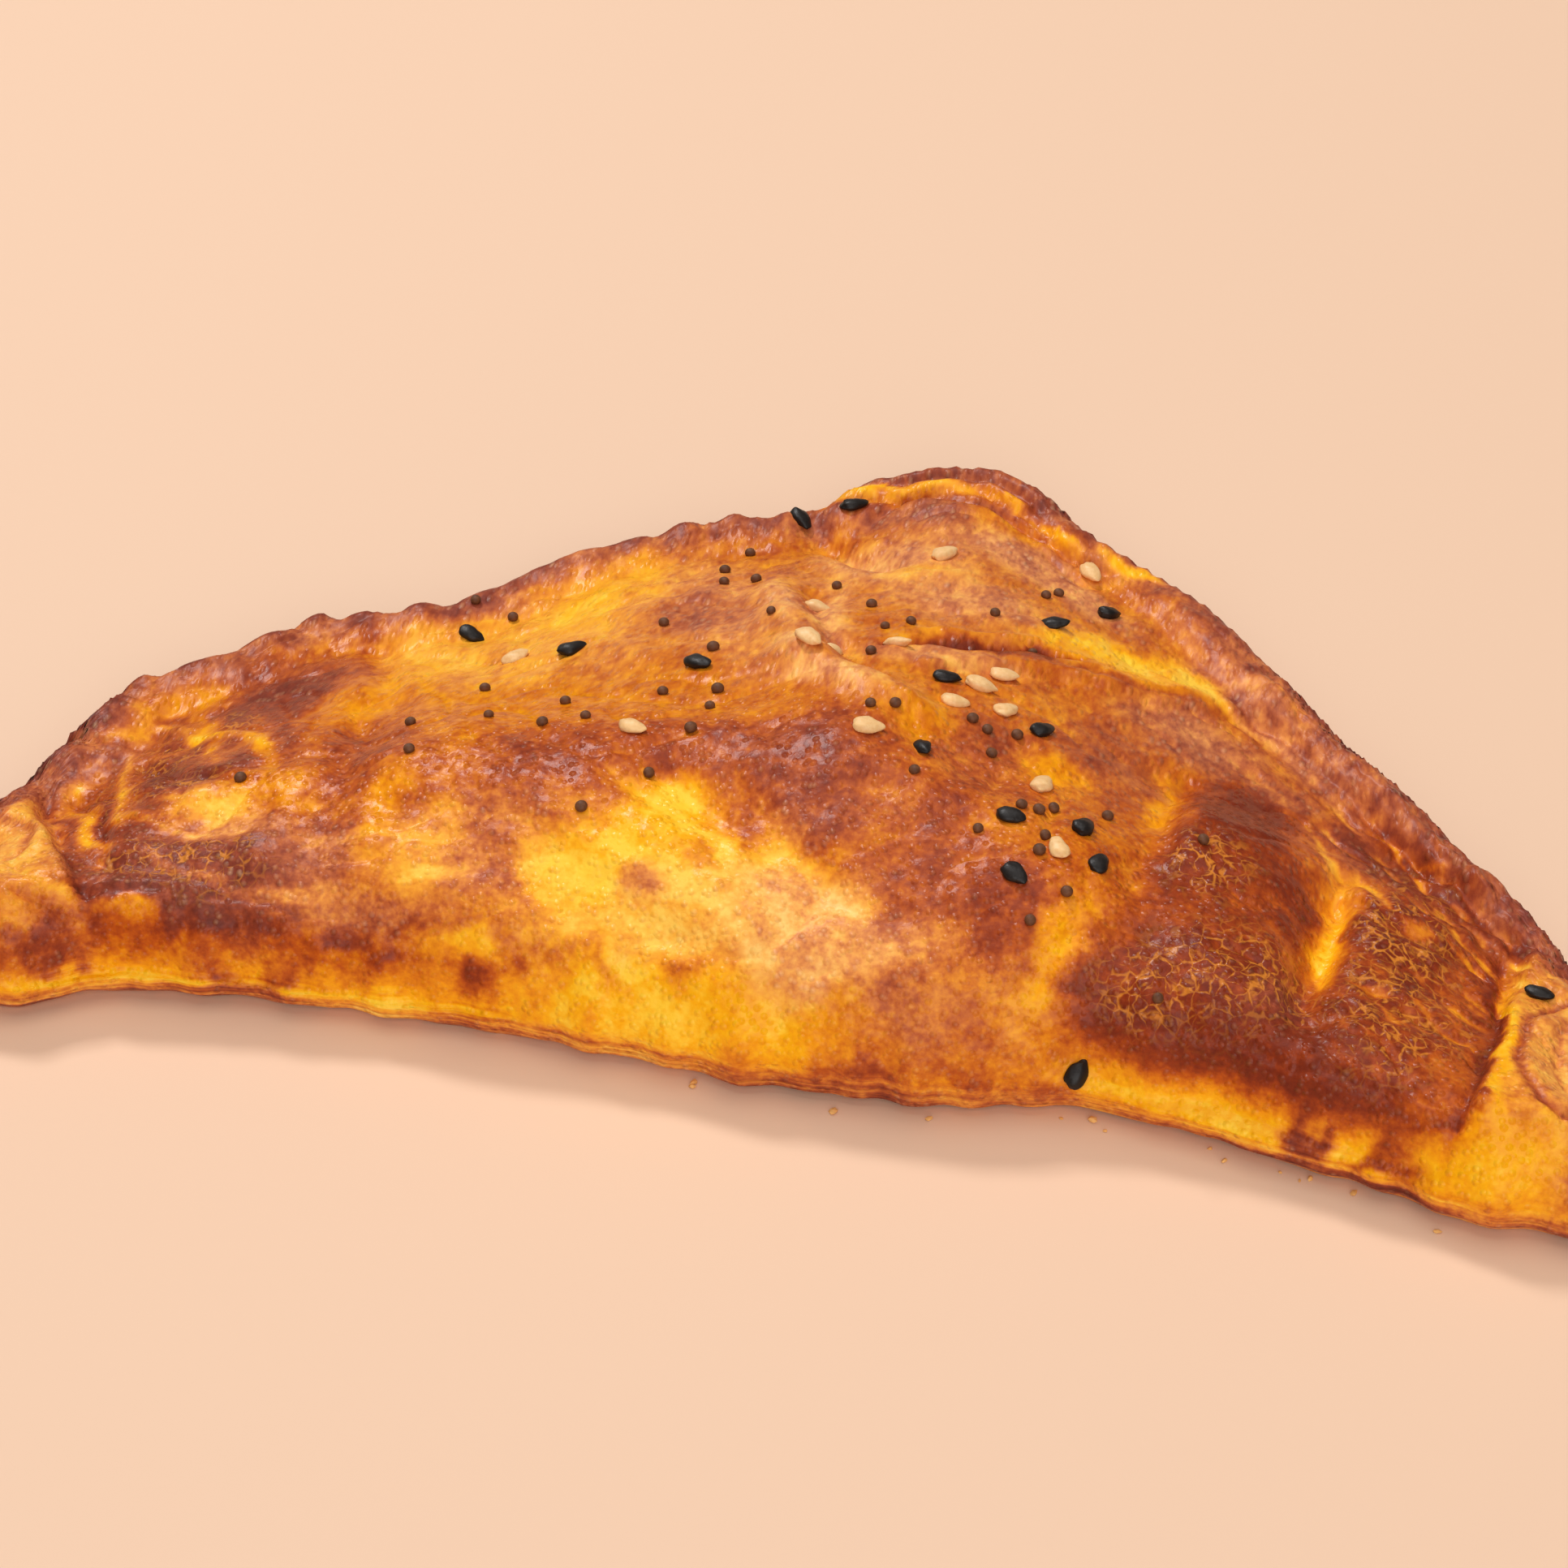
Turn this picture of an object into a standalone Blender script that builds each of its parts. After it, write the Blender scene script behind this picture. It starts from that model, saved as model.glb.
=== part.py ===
"""A large baked turnover: a square of laminated dough folded corner to corner over its filling.

The long folded edge runs along X at the front, and the two crimped legs meet at the back corner.
The filling lies behind the fold as a long swell, and the dough thins to a crimped rim at the legs.
Both side corners are folded back over the top as flaps, and sesame and poppy seeds are baked on.
The origin is at the middle of the turnover's footprint, on the surface that it rests on.
"""

import math
import random

import bmesh
import bpy
import numpy as np
from mathutils import Matrix, Vector, noise
from mathutils.bvhtree import BVHTree
from mathutils.kdtree import KDTree

MM = 0.001

# Overall size
LENGTH = 168.0
HALF = LENGTH / 2
SWELL_HEIGHT = 22.0
SWELL_REACH = 26.0
FRONT_WALL = 8.0
DOUGH = 5.5
BLEND = 5.0

# Plan outline, in millimetres, from the left corner to the right one
FRONT_EDGE = [
    (-84, -48), (-78, -49), (-68, -49.5), (-61, -49), (-57, -45.5), (-46, -43.5), (-33, -43),
    (-14, -43.2), (1, -44.5), (18, -44), (31, -41), (42, -42.5), (58, -46), (63, -48), (77, -47),
    (84, -46.5),
]
BACK_EDGE = [
    (-84, -34), (-78, -31.5), (-73, -28), (-70, -20.5), (-67.5, -6.5), (-64, -3), (-61, -1),
    (-56, 5.5), (-53, 9.5), (-48, 9.8), (-41, 13), (-35.5, 20), (-32, 24), (-21, 32.5), (-10, 36.5),
    (-6.5, 43), (-3.5, 45), (1, 46.6), (8.5, 47.4), (14.5, 43.2), (19, 38), (26, 34.3), (32, 29),
    (38, 22.3), (41, 19), (49, 8.5), (56, 1.2), (65, -9.8), (69, -15.8), (75, -24), (80, -30),
    (84, -34),
]
APEX_X = 5.0
CORNER_ROUNDING = 3.0
CORNER_REACH = 7.0
EDGE_STEP = 0.25

# Rolled edges
FRONT_ROLL_HEIGHT = 3.0
FRONT_ROLL_DEPTH = 3.0
BACK_ROLL_HEIGHT = 2.2
BACK_ROLL_DEPTH = 2.2
FRONT_SHOULDER = 4.0
BACK_SHOULDER = 2.0
# The under layer of the fold, which sticks out at the front: from x, to x, width, height
LEDGES = [(-62, -18, 1.1, 3.2), (29, 61, 2.4, 4.4)]
LEDGE_UNEVENNESS = 1.2

# Crimped rim of the legs
RIM_WIDTH = 7.0
RIM_RISE_REACH = 40.0
CRIMP_PITCHES = (7.4, 6.0)
CRIMP_HEIGHT = 0.6
CRIMP_SCALLOP = 0.55
CRIMP_REACH = 4.0
CRIMP_DRIFT = 0.35
# On the right leg the crimps give way to fine wrinkles
WRINKLE_PITCH = 2.3
WRINKLE_SHARE = 0.4
RIM_GROOVE_DEPTH = 0.4
RIM_GROOVE_WIDTH = 1.8

# Layered cap of the back corner
CAP_REACH = 13.0
CAP_HEIGHT = 1.0
CAP_LEAF_PITCH = 2.6
CAP_LEAF_HEIGHT = 0.25

# Folded corner flaps: the line that each one ends at, with the corner on its left-hand side
FLAP_LINES = [(-57, -41, -68, -25), (65, -17, 61, -48)]
FLAP_THICKNESS = 1.7
FLAP_STEP = 1.6
FLAP_INSET = 3.5
# Curl of the dough inside each flap: x, y, half width, half depth
CURLS = [(-68, -36, 4.0, 5.0), (70, -35, 4.0, 7.0)]
CURL_HEIGHT = 0.8
CURL_WIDTH = 1.3

# Swells and dents in the lid: x, y, reach, height
SWELLS = [
    (5, -17, 9, 1.8), (24, -24, 7, 1.3), (39, -16, 7, 2.4), (56, -20, 7, 2.0), (-13, -22, 9, 1.0),
    (-30, -24, 8, 0.9), (-52, -26, 8, 1.6), (18, -9, 6, 0.8), (-24, 2, 9, 0.8), (6, 41, 7, 2.2),
    (12, 22, 9, 0.9),
]
# Furrows: from x, y to x, y, half width, depth
FURROWS = [
    (-32, -30, -6, -39, 3.4, 1.5), (-9, -24, 6, -34, 3.0, 1.4), (48, -20, 48, -36, 2.6, 2.2),
    (31, -8, 33, -32, 3.2, 1.0), (-38, -12, -38, -36, 3.0, 1.0), (-9, 33, 0, 24, 2.2, 1.3),
    (-44, -31, -50, -33, 3.0, 0.9), (-58, -38, -30, -40, 1.6, 0.7),
]
# Raised folds of the dough, on the same terms
FOLDS = [
    (-8, 14, -2, -4, 3.0, 0.9), (-2, -4, 9, -10, 2.6, 1.1), (28, 27, 60, -9, 2.2, 0.9),
    (60, -9, 68, -15, 2.2, 0.8),
]
# Lifted edge of the top leaf, which steps down towards the front
LEAF_EDGE = [(8, -3), (13, 1), (20, 4.5), (30, 7), (40, 12)]
LEAF_LIFT = 0.9
LEAF_REACH = 7.0

# Mesh of the crust: made fine, then thinned to this many triangles
AROUND = 160
TOP_SHARE = 0.8
ALONG = 300
CROWDING = 0.5
CRUST_TRIANGLES = 8000
FLAT_UNDER = 0.06

# Seeds: length, width and thickness, in millimetres
SESAME_SIZE = (3.1, 2.0, 1.2)
POPPY_SIZE = (1.2, 1.15, 1.0)
SEED_SINK = 0.22
SESAME_TAPER = 0.35
SMALLEST_SEED = 0.78
SEED_DRAW = 7
# Black sesame seeds: x, y and turn in degrees
BLACK_SESAME = [
    (-37, 8, -15), (-24.5, 0, 46), (-11, -5.5, -27), (12, -17.5, -61), (11.5, -3.5, 13),
    (21, -24, -3), (22.5, -30.5, -37), (21, -8, 57), (18.5, 15, 10), (27, -22.5, 73),
    (29, -26.5, 77), (22.5, 23, 53), (30, -40.4, 75), (-5.5, 37, 37), (-10.5, 34.5, -45),
    (67, -24.6, -17),
]
# White sesame seeds, on the same terms
WHITE_SESAME = [
    (-30, 0, 60), (-13.5, -19.5, -23), (-3.5, 10.5, -12), (-1, -4.5, -46), (0.5, -1, 63),
    (6, 1.5, -17), (16, 1, 13), (14.5, -3, 10), (13, -7.5, 13), (17.5, -6.5, 48),
    (22.5, -17, 79), (25.5, -26.5, 115), (19.5, 31, -52), (6, 25.5, 58), (7, -17, 13),
]
# Poppy seeds: x, y
POPPY = [
    (-38, 13), (-34, 12), (-30.5, -8.5), (-27.5, -17), (-34.5, -18), (-32.5, -24.5),
    (-22, -18.5), (-21.5, -13), (-18.5, -17), (-17, 5), (-13, -11), (-10.5, -2),
    (-8, -10.5), (-8, -13.5), (-8.5, -18.5), (-11, -24), (-15.5, -29.5), (-47.5, -27),
    (-15, 21), (-14, 16.5), (-14, 27.5), (-11, 17.5), (-6.5, 4.5), (-3, 17), (1.5, 11.5),
    (4, 5.5), (6, 7.5), (13, 13), (16.5, 21.5), (17.5, 23), (4, -1), (17.5, 8), (6.5, -13.5),
    (8.5, -12.5), (15, -10), (16.5, -11), (19, -10), (17.5, -14.5), (12, -21), (21.5, -22),
    (23, -22), (24, -20.5), (24, -25), (24, -27.5), (18.5, -26), (28.5, -18.5), (27, -31),
    (24.5, -34), (36, -37.5), (37, -20),
]


def smoothstep(low, high, value):
    """0 below low, 1 above high, and a smooth rise between them."""
    t = np.clip((value - low) / (high - low), 0, 1)
    return t * t * (3 - 2 * t)


def edge_curve(points):
    """Closely spaced points along an outline, with its corners rounded."""
    x = np.arange(-HALF, HALF + EDGE_STEP / 2, EDGE_STEP)
    px, py = np.array(points, float).T
    shifts = np.linspace(-CORNER_ROUNDING / 2, CORNER_ROUNDING / 2, 9)
    y = np.mean([np.interp(x + shift, px, py) for shift in shifts], axis=0)
    return np.column_stack([x, y])


def arc_lengths(curve):
    """The distance along a curve to each of its points."""
    steps = np.linalg.norm(np.diff(curve, axis=0), axis=1)
    return np.concatenate([[0], np.cumsum(steps)])


def crimp_wave(travel):
    """The rise and fall of the edge: round crimps with notches between them on the left leg, the
    first ones the widest, and fine wrinkles on the right leg. Both are uneven."""
    drift = np.array([noise.noise(Vector((t / 14, 0.5, 0.5))) for t in travel])
    depth = np.array([0.7 + 1.2 * noise.noise(Vector((t / 12, 7.5, 0.5))) for t in travel])
    right = smoothstep(APEX_TRAVEL - 4, APEX_TRAVEL + 4, travel)
    crimp = travel / np.interp(travel, (0, APEX_TRAVEL), CRIMP_PITCHES) + CRIMP_DRIFT * drift
    crimps = (1 - right) * (2 * np.abs(np.cos(math.pi * crimp)) ** 0.7 - 1)
    wrinkle = travel / WRINKLE_PITCH + CRIMP_DRIFT * drift
    wrinkles = right * WRINKLE_SHARE * np.cos(2 * math.pi * wrinkle)
    return np.clip(depth, 0.2, 1.3) * (crimps + wrinkles)


APEX_TRAVEL = np.interp(
    APEX_X, edge_curve(BACK_EDGE)[:, 0], arc_lengths(edge_curve(BACK_EDGE))
)


def scalloped(curve):
    """The leg's edge pushed in and out by the crimps."""
    push = CRIMP_SCALLOP * crimp_wave(arc_lengths(curve))
    return curve + np.column_stack([np.zeros(len(curve)), push])


def rounded_corners(front, back):
    """Both outlines drawn together at the two side corners."""
    reach = np.clip((np.abs(front[:, 0]) - HALF + CORNER_REACH) / CORNER_REACH, 0, 1)
    middle = (front[:, 1] + back[:, 1]) / 2
    half_width = (back[:, 1] - front[:, 1]) / 2 * np.sqrt(1 - reach ** 2)
    front[:, 1] = middle - half_width
    back[:, 1] = middle + half_width
    return front, back


FRONT, BACK = rounded_corners(edge_curve(FRONT_EDGE), scalloped(edge_curve(BACK_EDGE)))
LEFT_LEG = BACK[BACK[:, 0] < APEX_X]
RIGHT_LEG = BACK[BACK[:, 0] > APEX_X]
MIDDLE_Y = (FRONT[:, 1].min() + BACK[:, 1].max()) / 2


def nearest(curve, x, y):
    """For each place, the distance to a curve and how far along it the nearest point is."""
    tree = KDTree(len(curve))
    for index, (cx, cy) in enumerate(curve):
        tree.insert((cx, cy, 0), index)
    tree.balance()
    travel = arc_lengths(curve)
    found = [tree.find((px, py, 0)) for px, py in zip(x, y)]
    return np.array([f[2] for f in found]), np.array([travel[f[1]] for f in found])


def from_line(x, y, x0, y0, x1, y1):
    """The distance to a straight line between two places, which rounds off beyond its ends."""
    dx, dy = x1 - x0, y1 - y0
    t = np.clip(((x - x0) * dx + (y - y0) * dy) / (dx * dx + dy * dy), 0, 1)
    return np.hypot(x - x0 - t * dx, y - y0 - t * dy)


def leaf_step(x, y):
    """The top leaf's torn edge: full height just behind it, nothing in front, fading backwards."""
    px, py = np.array(LEAF_EDGE, float).T
    behind = y - np.interp(x, px, py)
    ends = smoothstep(px[0] - 2, px[0] + 4, x) * (1 - smoothstep(px[-1] - 4, px[-1] + 4, x))
    return LEAF_LIFT * ends * smoothstep(-0.8, 0.8, behind) * (1 - smoothstep(1, LEAF_REACH, behind))


def flaps(x, y, from_front, from_back):
    """The two corners folded back over the top, each a sheet of dough with a curl in it."""
    z = np.zeros(len(x))
    for x0, y0, x1, y1 in FLAP_LINES:
        length = math.hypot(x1 - x0, y1 - y0)
        beyond = ((x1 - x0) * (y - y0) - (y1 - y0) * (x - x0)) / length
        z += FLAP_THICKNESS * smoothstep(0, FLAP_STEP, beyond)
    z *= smoothstep(FLAP_INSET - 1.5, FLAP_INSET + 1.5, np.minimum(from_front, from_back))
    for cx, cy, half_width, half_depth in CURLS:
        out = np.hypot((x - cx) / half_width, (y - cy) / half_depth) - 1
        z += CURL_HEIGHT * np.exp(-(out * half_width / CURL_WIDTH) ** 2)
    return z


def ledges(z, x, from_front):
    """Cuts the top crust back to the under layer where that sticks out."""
    uneven = LEDGE_UNEVENNESS * undulation(x, np.zeros(len(x)))
    for start, stop, width, height in LEDGES:
        along = smoothstep(start - 5, start + 5, x) * (1 - smoothstep(stop - 5, stop + 5, x))
        inside = from_front - width - uneven
        cut = along * (1 - smoothstep(-0.6, 0.6, inside))
        z = z + cut * (height - z)
    return z


def cap(x, y, from_back):
    """The back corner, folded over on itself, with the edges of its leaves as ripples."""
    near = np.exp(-(np.hypot(x - APEX_X, y - BACK[:, 1].max()) / CAP_REACH) ** 4)
    ripple = np.cos(2 * math.pi * from_back / CAP_LEAF_PITCH)
    return near * (CAP_HEIGHT + CAP_LEAF_HEIGHT * ripple)


def undulation(x, y):
    """The uneven rise of baked dough, coarse and fine."""
    values = []
    for px, py in zip(x, y):
        coarse = noise.noise(Vector((px / 13, py / 13, 3.1)))
        fine = noise.noise(Vector((px / 4.5, py / 4.5, 8.7)))
        values.append(0.9 * coarse + 0.3 * fine)
    return np.array(values)


def rise_from_leg(distance):
    """The lid's climb from a crimped rim towards the filling."""
    inland = np.clip((distance - RIM_WIDTH) / RIM_RISE_REACH, 0, 1)
    return DOUGH + (SWELL_HEIGHT - DOUGH) * inland ** 1.1


def blended(*heights):
    """The lowest of several heights, with the creases between them rounded."""
    return sum(height ** -BLEND for height in heights) ** (-1 / BLEND)


def lid_height(x, y):
    """The height of the top crust over the surface that the turnover rests on."""
    from_front, _ = nearest(FRONT, x, y)
    from_left, _ = nearest(LEFT_LEG, x, y)
    from_right, _ = nearest(RIGHT_LEG, x, y)
    from_back, travel = nearest(BACK, x, y)
    climb = 1 - (1 - np.clip(from_front / SWELL_REACH, 0, 1)) ** 2
    fold_side = FRONT_WALL + (SWELL_HEIGHT - FRONT_WALL) * climb
    z = blended(fold_side, rise_from_leg(from_left), rise_from_leg(from_right))
    for sx, sy, reach, height in SWELLS:
        z += height * np.exp(-((x - sx) ** 2 + (y - sy) ** 2) / reach ** 2)
    for x0, y0, x1, y1, half_width, depth in FURROWS:
        z -= depth * np.exp(-(from_line(x, y, x0, y0, x1, y1) / half_width) ** 2)
    for x0, y0, x1, y1, half_width, height in FOLDS:
        z += height * np.exp(-(from_line(x, y, x0, y0, x1, y1) / half_width) ** 2)
    z += CRIMP_HEIGHT * crimp_wave(travel) * np.exp(-(from_back / CRIMP_REACH) ** 4)
    z -= RIM_GROOVE_DEPTH * np.exp(-((from_back - RIM_WIDTH) / RIM_GROOVE_WIDTH) ** 2)
    z += cap(x, y, from_back) + leaf_step(x, y) + flaps(x, y, from_front, from_back)
    z = ledges(z + undulation(x, y), x, from_front)
    shoulder = np.minimum(from_front / FRONT_SHOULDER, from_back / BACK_SHOULDER).clip(0, 1)
    return z, np.sqrt(1 - (1 - shoulder) ** 2), from_front, from_back


def keep_body(thing):
    """Drops loose scraps, and the skins of hollows that the seeds have sealed."""
    bm = bmesh.new()
    bm.from_mesh(thing.data)
    groups = []
    waiting = set(bm.verts)
    while waiting:
        group = set()
        edge_of_group = [waiting.pop()]
        while edge_of_group:
            vertex = edge_of_group.pop()
            group.add(vertex)
            for edge in vertex.link_edges:
                other = edge.other_vert(vertex)
                if other in waiting:
                    waiting.remove(other)
                    edge_of_group.append(other)
        groups.append(group)
    groups.sort(key=len)
    for group in groups[:-1]:
        bmesh.ops.delete(bm, geom=list(group), context="VERTS")
    bm.to_mesh(thing.data)
    bm.free()


def quarter_round(distance, depth):
    """1 at an edge, falling to 0 at depth inwards, as the under side of a rolled edge does."""
    return 1 - np.sqrt(1 - (1 - np.clip(distance / depth, 0, 1)) ** 2)


def crust_mesh():
    """The dough as one closed skin: a sphere whose poles are drawn out to the two side corners."""
    bm = bmesh.new()
    bmesh.ops.create_uvsphere(bm, u_segments=AROUND, v_segments=ALONG, radius=1)
    unit = np.array([v.co for v in bm.verts])
    polar = np.arccos(np.clip(unit[:, 2], -1, 1)) / math.pi
    x = LENGTH * ((1 - CROWDING) * polar + CROWDING * (1 - np.cos(math.pi * polar)) / 2) - HALF
    turn = np.round(np.mod(np.arctan2(unit[:, 1], unit[:, 0]) / (2 * math.pi), 1), 6) % 1
    on_top = turn <= TOP_SHARE
    across = np.where(on_top, turn / TOP_SHARE, (1 - turn) / (1 - TOP_SHARE))
    across = (1 - CROWDING) * across + CROWDING * (1 - np.cos(math.pi * across)) / 2
    pole = np.hypot(unit[:, 0], unit[:, 1]) < 1e-4
    across[pole] = 0.5
    front = np.interp(x, *FRONT.T)
    back = np.interp(x, *BACK.T)
    y = front + across * (back - front)
    z, rounding, from_front, from_back = lid_height(x, y)
    roll = FRONT_ROLL_HEIGHT + across * (BACK_ROLL_HEIGHT - FRONT_ROLL_HEIGHT)
    under = np.where(
        from_front / FRONT_ROLL_DEPTH < from_back / BACK_ROLL_DEPTH,
        quarter_round(from_front, FRONT_ROLL_DEPTH),
        quarter_round(from_back, BACK_ROLL_DEPTH),
    )
    lid = roll + (z - roll) * rounding
    level = np.where(on_top, lid, roll * under)
    level[pole] = roll[pole]
    for vertex, place in zip(bm.verts, np.column_stack([x, y - MIDDLE_Y, level]) * MM):
        vertex.co = place
    bmesh.ops.recalc_face_normals(bm, faces=bm.faces)
    if bm.calc_volume(signed=True) < 0:
        bmesh.ops.reverse_faces(bm, faces=bm.faces)
    return bm


def applied(thing):
    """The mesh of an object with its modifiers applied, put in place of its own mesh."""
    seen = thing.evaluated_get(bpy.context.evaluated_depsgraph_get())
    mesh = bpy.data.meshes.new_from_object(seen)
    thing.modifiers.clear()
    thing.data = mesh
    return mesh


def thin_out(thing, triangles):
    """Fewer, larger triangles where the skin is smooth, with the flat under side kept flat."""
    mesh = thing.data
    mesh.calc_loop_triangles()
    modifier = thing.modifiers.new("thinned", "DECIMATE")
    modifier.ratio = triangles / len(mesh.loop_triangles)
    mesh = applied(thing)
    for vertex in mesh.vertices:
        if vertex.co.z < FLAT_UNDER * MM:
            vertex.co.z = 0


def seed_places():
    """Kind, place and turn of every seed. The round poppy seeds are turned at random."""
    draw = random.Random(SEED_DRAW)
    places = []
    for kind, spots in (("black", BLACK_SESAME), ("white", WHITE_SESAME)):
        places += [(kind, x, y, math.radians(turn)) for x, y, turn in spots]
    return places + [("poppy", x, y, draw.uniform(0, 2 * math.pi)) for x, y in POPPY]


def add_seed(bm, kind, place, upward, turn):
    """One seed, lying on the crust and a little sunk in it."""
    if kind == "poppy":
        made = bmesh.ops.create_icosphere(bm, subdivisions=1, radius=0.5)["verts"]
        size = Vector(POPPY_SIZE)
    else:
        made = bmesh.ops.create_uvsphere(bm, u_segments=6, v_segments=4, radius=0.5)["verts"]
        size = Vector(SESAME_SIZE)
        for vertex in made:
            vertex.co = vertex.co.zyx
            vertex.co.yz *= 1 - SESAME_TAPER * vertex.co.x
    size *= SMALLEST_SEED + (1 - SMALLEST_SEED) * (0.5 + noise.noise(place / MM))
    lift = (0.5 - SEED_SINK) * size.z * MM
    stand = Vector((0, 0, 1)).rotation_difference(upward).to_matrix().to_4x4()
    bmesh.ops.scale(bm, vec=size * MM, verts=made)
    spin = Matrix.Rotation(turn, 4, "Z")
    move = Matrix.Translation(place + upward * lift)
    bmesh.ops.transform(bm, matrix=move @ stand @ spin, verts=made)


def seeds_mesh(crust):
    """Every seed, set on the crust where a line from above meets it."""
    ground = BVHTree.FromPolygons(
        [v.co for v in crust.vertices], [p.vertices for p in crust.polygons]
    )
    bm = bmesh.new()
    for kind, x, y, turn in seed_places():
        above = Vector((x, y - MIDDLE_Y, 2 * SWELL_HEIGHT)) * MM
        place, upward, _, _ = ground.ray_cast(above, Vector((0, 0, -1)))
        add_seed(bm, kind, place, upward, turn)
    bmesh.ops.recalc_face_normals(bm, faces=bm.faces)
    return bm


def plain_material(name, colour, roughness):
    """A plain baked or seed-coat finish."""
    material = bpy.data.materials.new(name)
    material.use_nodes = True
    shader = material.node_tree.nodes["Principled BSDF"]
    shader.inputs["Base Color"].default_value = (*colour, 1)
    shader.inputs["Roughness"].default_value = roughness
    shader.inputs["Metallic"].default_value = 0
    return material


def new_object(name, bm, collection, material):
    """A bmesh as an object in a collection."""
    mesh = bpy.data.meshes.new(name)
    bm.to_mesh(mesh)
    bm.free()
    thing = bpy.data.objects.new(name, mesh)
    thing.data.materials.append(material)
    collection.objects.link(thing)
    return thing


def main():
    for old in list(bpy.data.objects):
        bpy.data.objects.remove(old, do_unlink=True)
    collection = bpy.data.collections.new("turnover")
    toppings = bpy.data.collections.new("toppings")
    for group in (collection, toppings):
        bpy.context.scene.collection.children.link(group)
    crust = plain_material("baked_crust", (0.55, 0.22, 0.03), 0.4)
    pastry = new_object("pastry", crust_mesh(), collection, crust)
    thin_out(pastry, CRUST_TRIANGLES)
    seeds = new_object("seeds", seeds_mesh(pastry.data), toppings, crust)
    union = pastry.modifiers.new("seeds", "BOOLEAN")
    union.operation = "UNION"
    union.operand_type = "COLLECTION"
    union.collection = toppings
    union.solver = "MANIFOLD"
    applied(pastry)
    keep_body(pastry)
    bpy.data.objects.remove(seeds, do_unlink=True)


main()
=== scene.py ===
"""The looks of a large baked turnover: laminated dough folded corner to corner over its filling.

The long folded edge runs along X at the front, and the two crimped legs meet at the back corner.
The dough is brushed with egg, baked unevenly brown, and sprinkled with sesame and poppy seeds.
"""

import math
import random

import bmesh
import bpy
import numpy as np
from mathutils import Matrix, Vector, noise
from mathutils.bvhtree import BVHTree
from mathutils.kdtree import KDTree


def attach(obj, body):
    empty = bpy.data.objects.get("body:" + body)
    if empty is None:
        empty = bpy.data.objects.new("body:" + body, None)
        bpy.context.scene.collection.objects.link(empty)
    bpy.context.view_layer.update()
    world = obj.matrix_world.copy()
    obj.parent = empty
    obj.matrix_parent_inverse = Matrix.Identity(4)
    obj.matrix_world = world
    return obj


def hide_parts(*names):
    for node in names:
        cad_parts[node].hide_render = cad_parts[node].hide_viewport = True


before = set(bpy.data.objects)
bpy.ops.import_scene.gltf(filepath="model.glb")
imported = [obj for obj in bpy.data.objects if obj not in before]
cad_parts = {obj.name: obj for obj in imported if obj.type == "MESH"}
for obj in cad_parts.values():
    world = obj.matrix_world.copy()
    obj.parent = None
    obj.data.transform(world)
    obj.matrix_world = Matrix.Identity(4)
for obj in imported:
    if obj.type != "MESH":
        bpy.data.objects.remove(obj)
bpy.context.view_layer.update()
MM = 0.001

# The crust
# One sheet of laminated dough, folded over the filling along the front and crimped along the two
# legs. It is rolled out, filled, folded, pressed shut at the rim, and its side corners turned back.

LENGTH = 168.0
HALF = LENGTH / 2
SWELL_HEIGHT = 22.0
SWELL_REACH = 26.0
FRONT_WALL = 8.0
DOUGH = 5.5
BLEND = 5.0
FRONT_EDGE = [
    (-84, -48), (-78, -49), (-68, -49.5), (-61, -49), (-57, -45.5), (-46, -43.5), (-33, -43),
    (-14, -43.2), (1, -44.5), (18, -44), (31, -41), (42, -42.5), (58, -46), (63, -48), (77, -47),
    (84, -46.5),
]
BACK_EDGE = [
    (-84, -34), (-78, -31.5), (-73, -28), (-70, -20.5), (-67.5, -6.5), (-64, -3), (-61, -1),
    (-56, 5.5), (-53, 9.5), (-48, 9.8), (-41, 13), (-35.5, 20), (-32, 24), (-21, 32.5), (-10, 36.5),
    (-6.5, 43), (-3.5, 45), (1, 46.6), (8.5, 47.4), (14.5, 43.2), (19, 38), (26, 34.3), (32, 29),
    (38, 22.3), (41, 19), (49, 8.5), (56, 1.2), (65, -9.8), (69, -15.8), (75, -24), (80, -30),
    (84, -34),
]
APEX_X = 5.0
CORNER_ROUNDING = 3.0
CORNER_REACH = 7.0
EDGE_STEP = 0.25
FRONT_ROLL_HEIGHT = 3.0
FRONT_ROLL_DEPTH = 3.0
BACK_ROLL_HEIGHT = 2.2
BACK_ROLL_DEPTH = 2.2
FRONT_SHOULDER = 4.0
BACK_SHOULDER = 2.0
# The under layer of the fold, which sticks out at the front: from x, to x, width, height
LEDGES = [(-62, -18, 1.1, 3.2), (29, 61, 1.7, 4.4)]
LEDGE_UNEVENNESS = 1.2
RIM_WIDTH = 7.0
RIM_RISE_REACH = 40.0
CRIMP_PITCHES = (7.4, 6.0)
CRIMP_HEIGHT = 0.6
CRIMP_SCALLOP = 0.55
CRIMP_REACH = 4.0
CRIMP_DRIFT = 0.35
# On the right leg the crimps give way to fine wrinkles
WRINKLE_PITCH = 2.3
WRINKLE_SHARE = 0.4
RIM_GROOVE_DEPTH = 0.4
RIM_GROOVE_WIDTH = 1.8
CAP_REACH = 13.0
CAP_HEIGHT = 1.0
CAP_LEAF_PITCH = 2.6
CAP_LEAF_HEIGHT = 0.25
# Folded corner flaps: the line that each one ends at, with the corner on its left-hand side
FLAP_LINES = [(-57, -41, -68, -25), (65, -17, 61, -48)]
FLAP_THICKNESS = 1.7
FLAP_STEP = 1.6
FLAP_INSET = 3.5
# Curl of the dough inside each flap: x, y, half width, half depth
CURLS = [(-68, -36, 4.0, 5.0), (70, -35, 4.0, 7.0)]
CURL_HEIGHT = 0.8
CURL_WIDTH = 1.3
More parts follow.
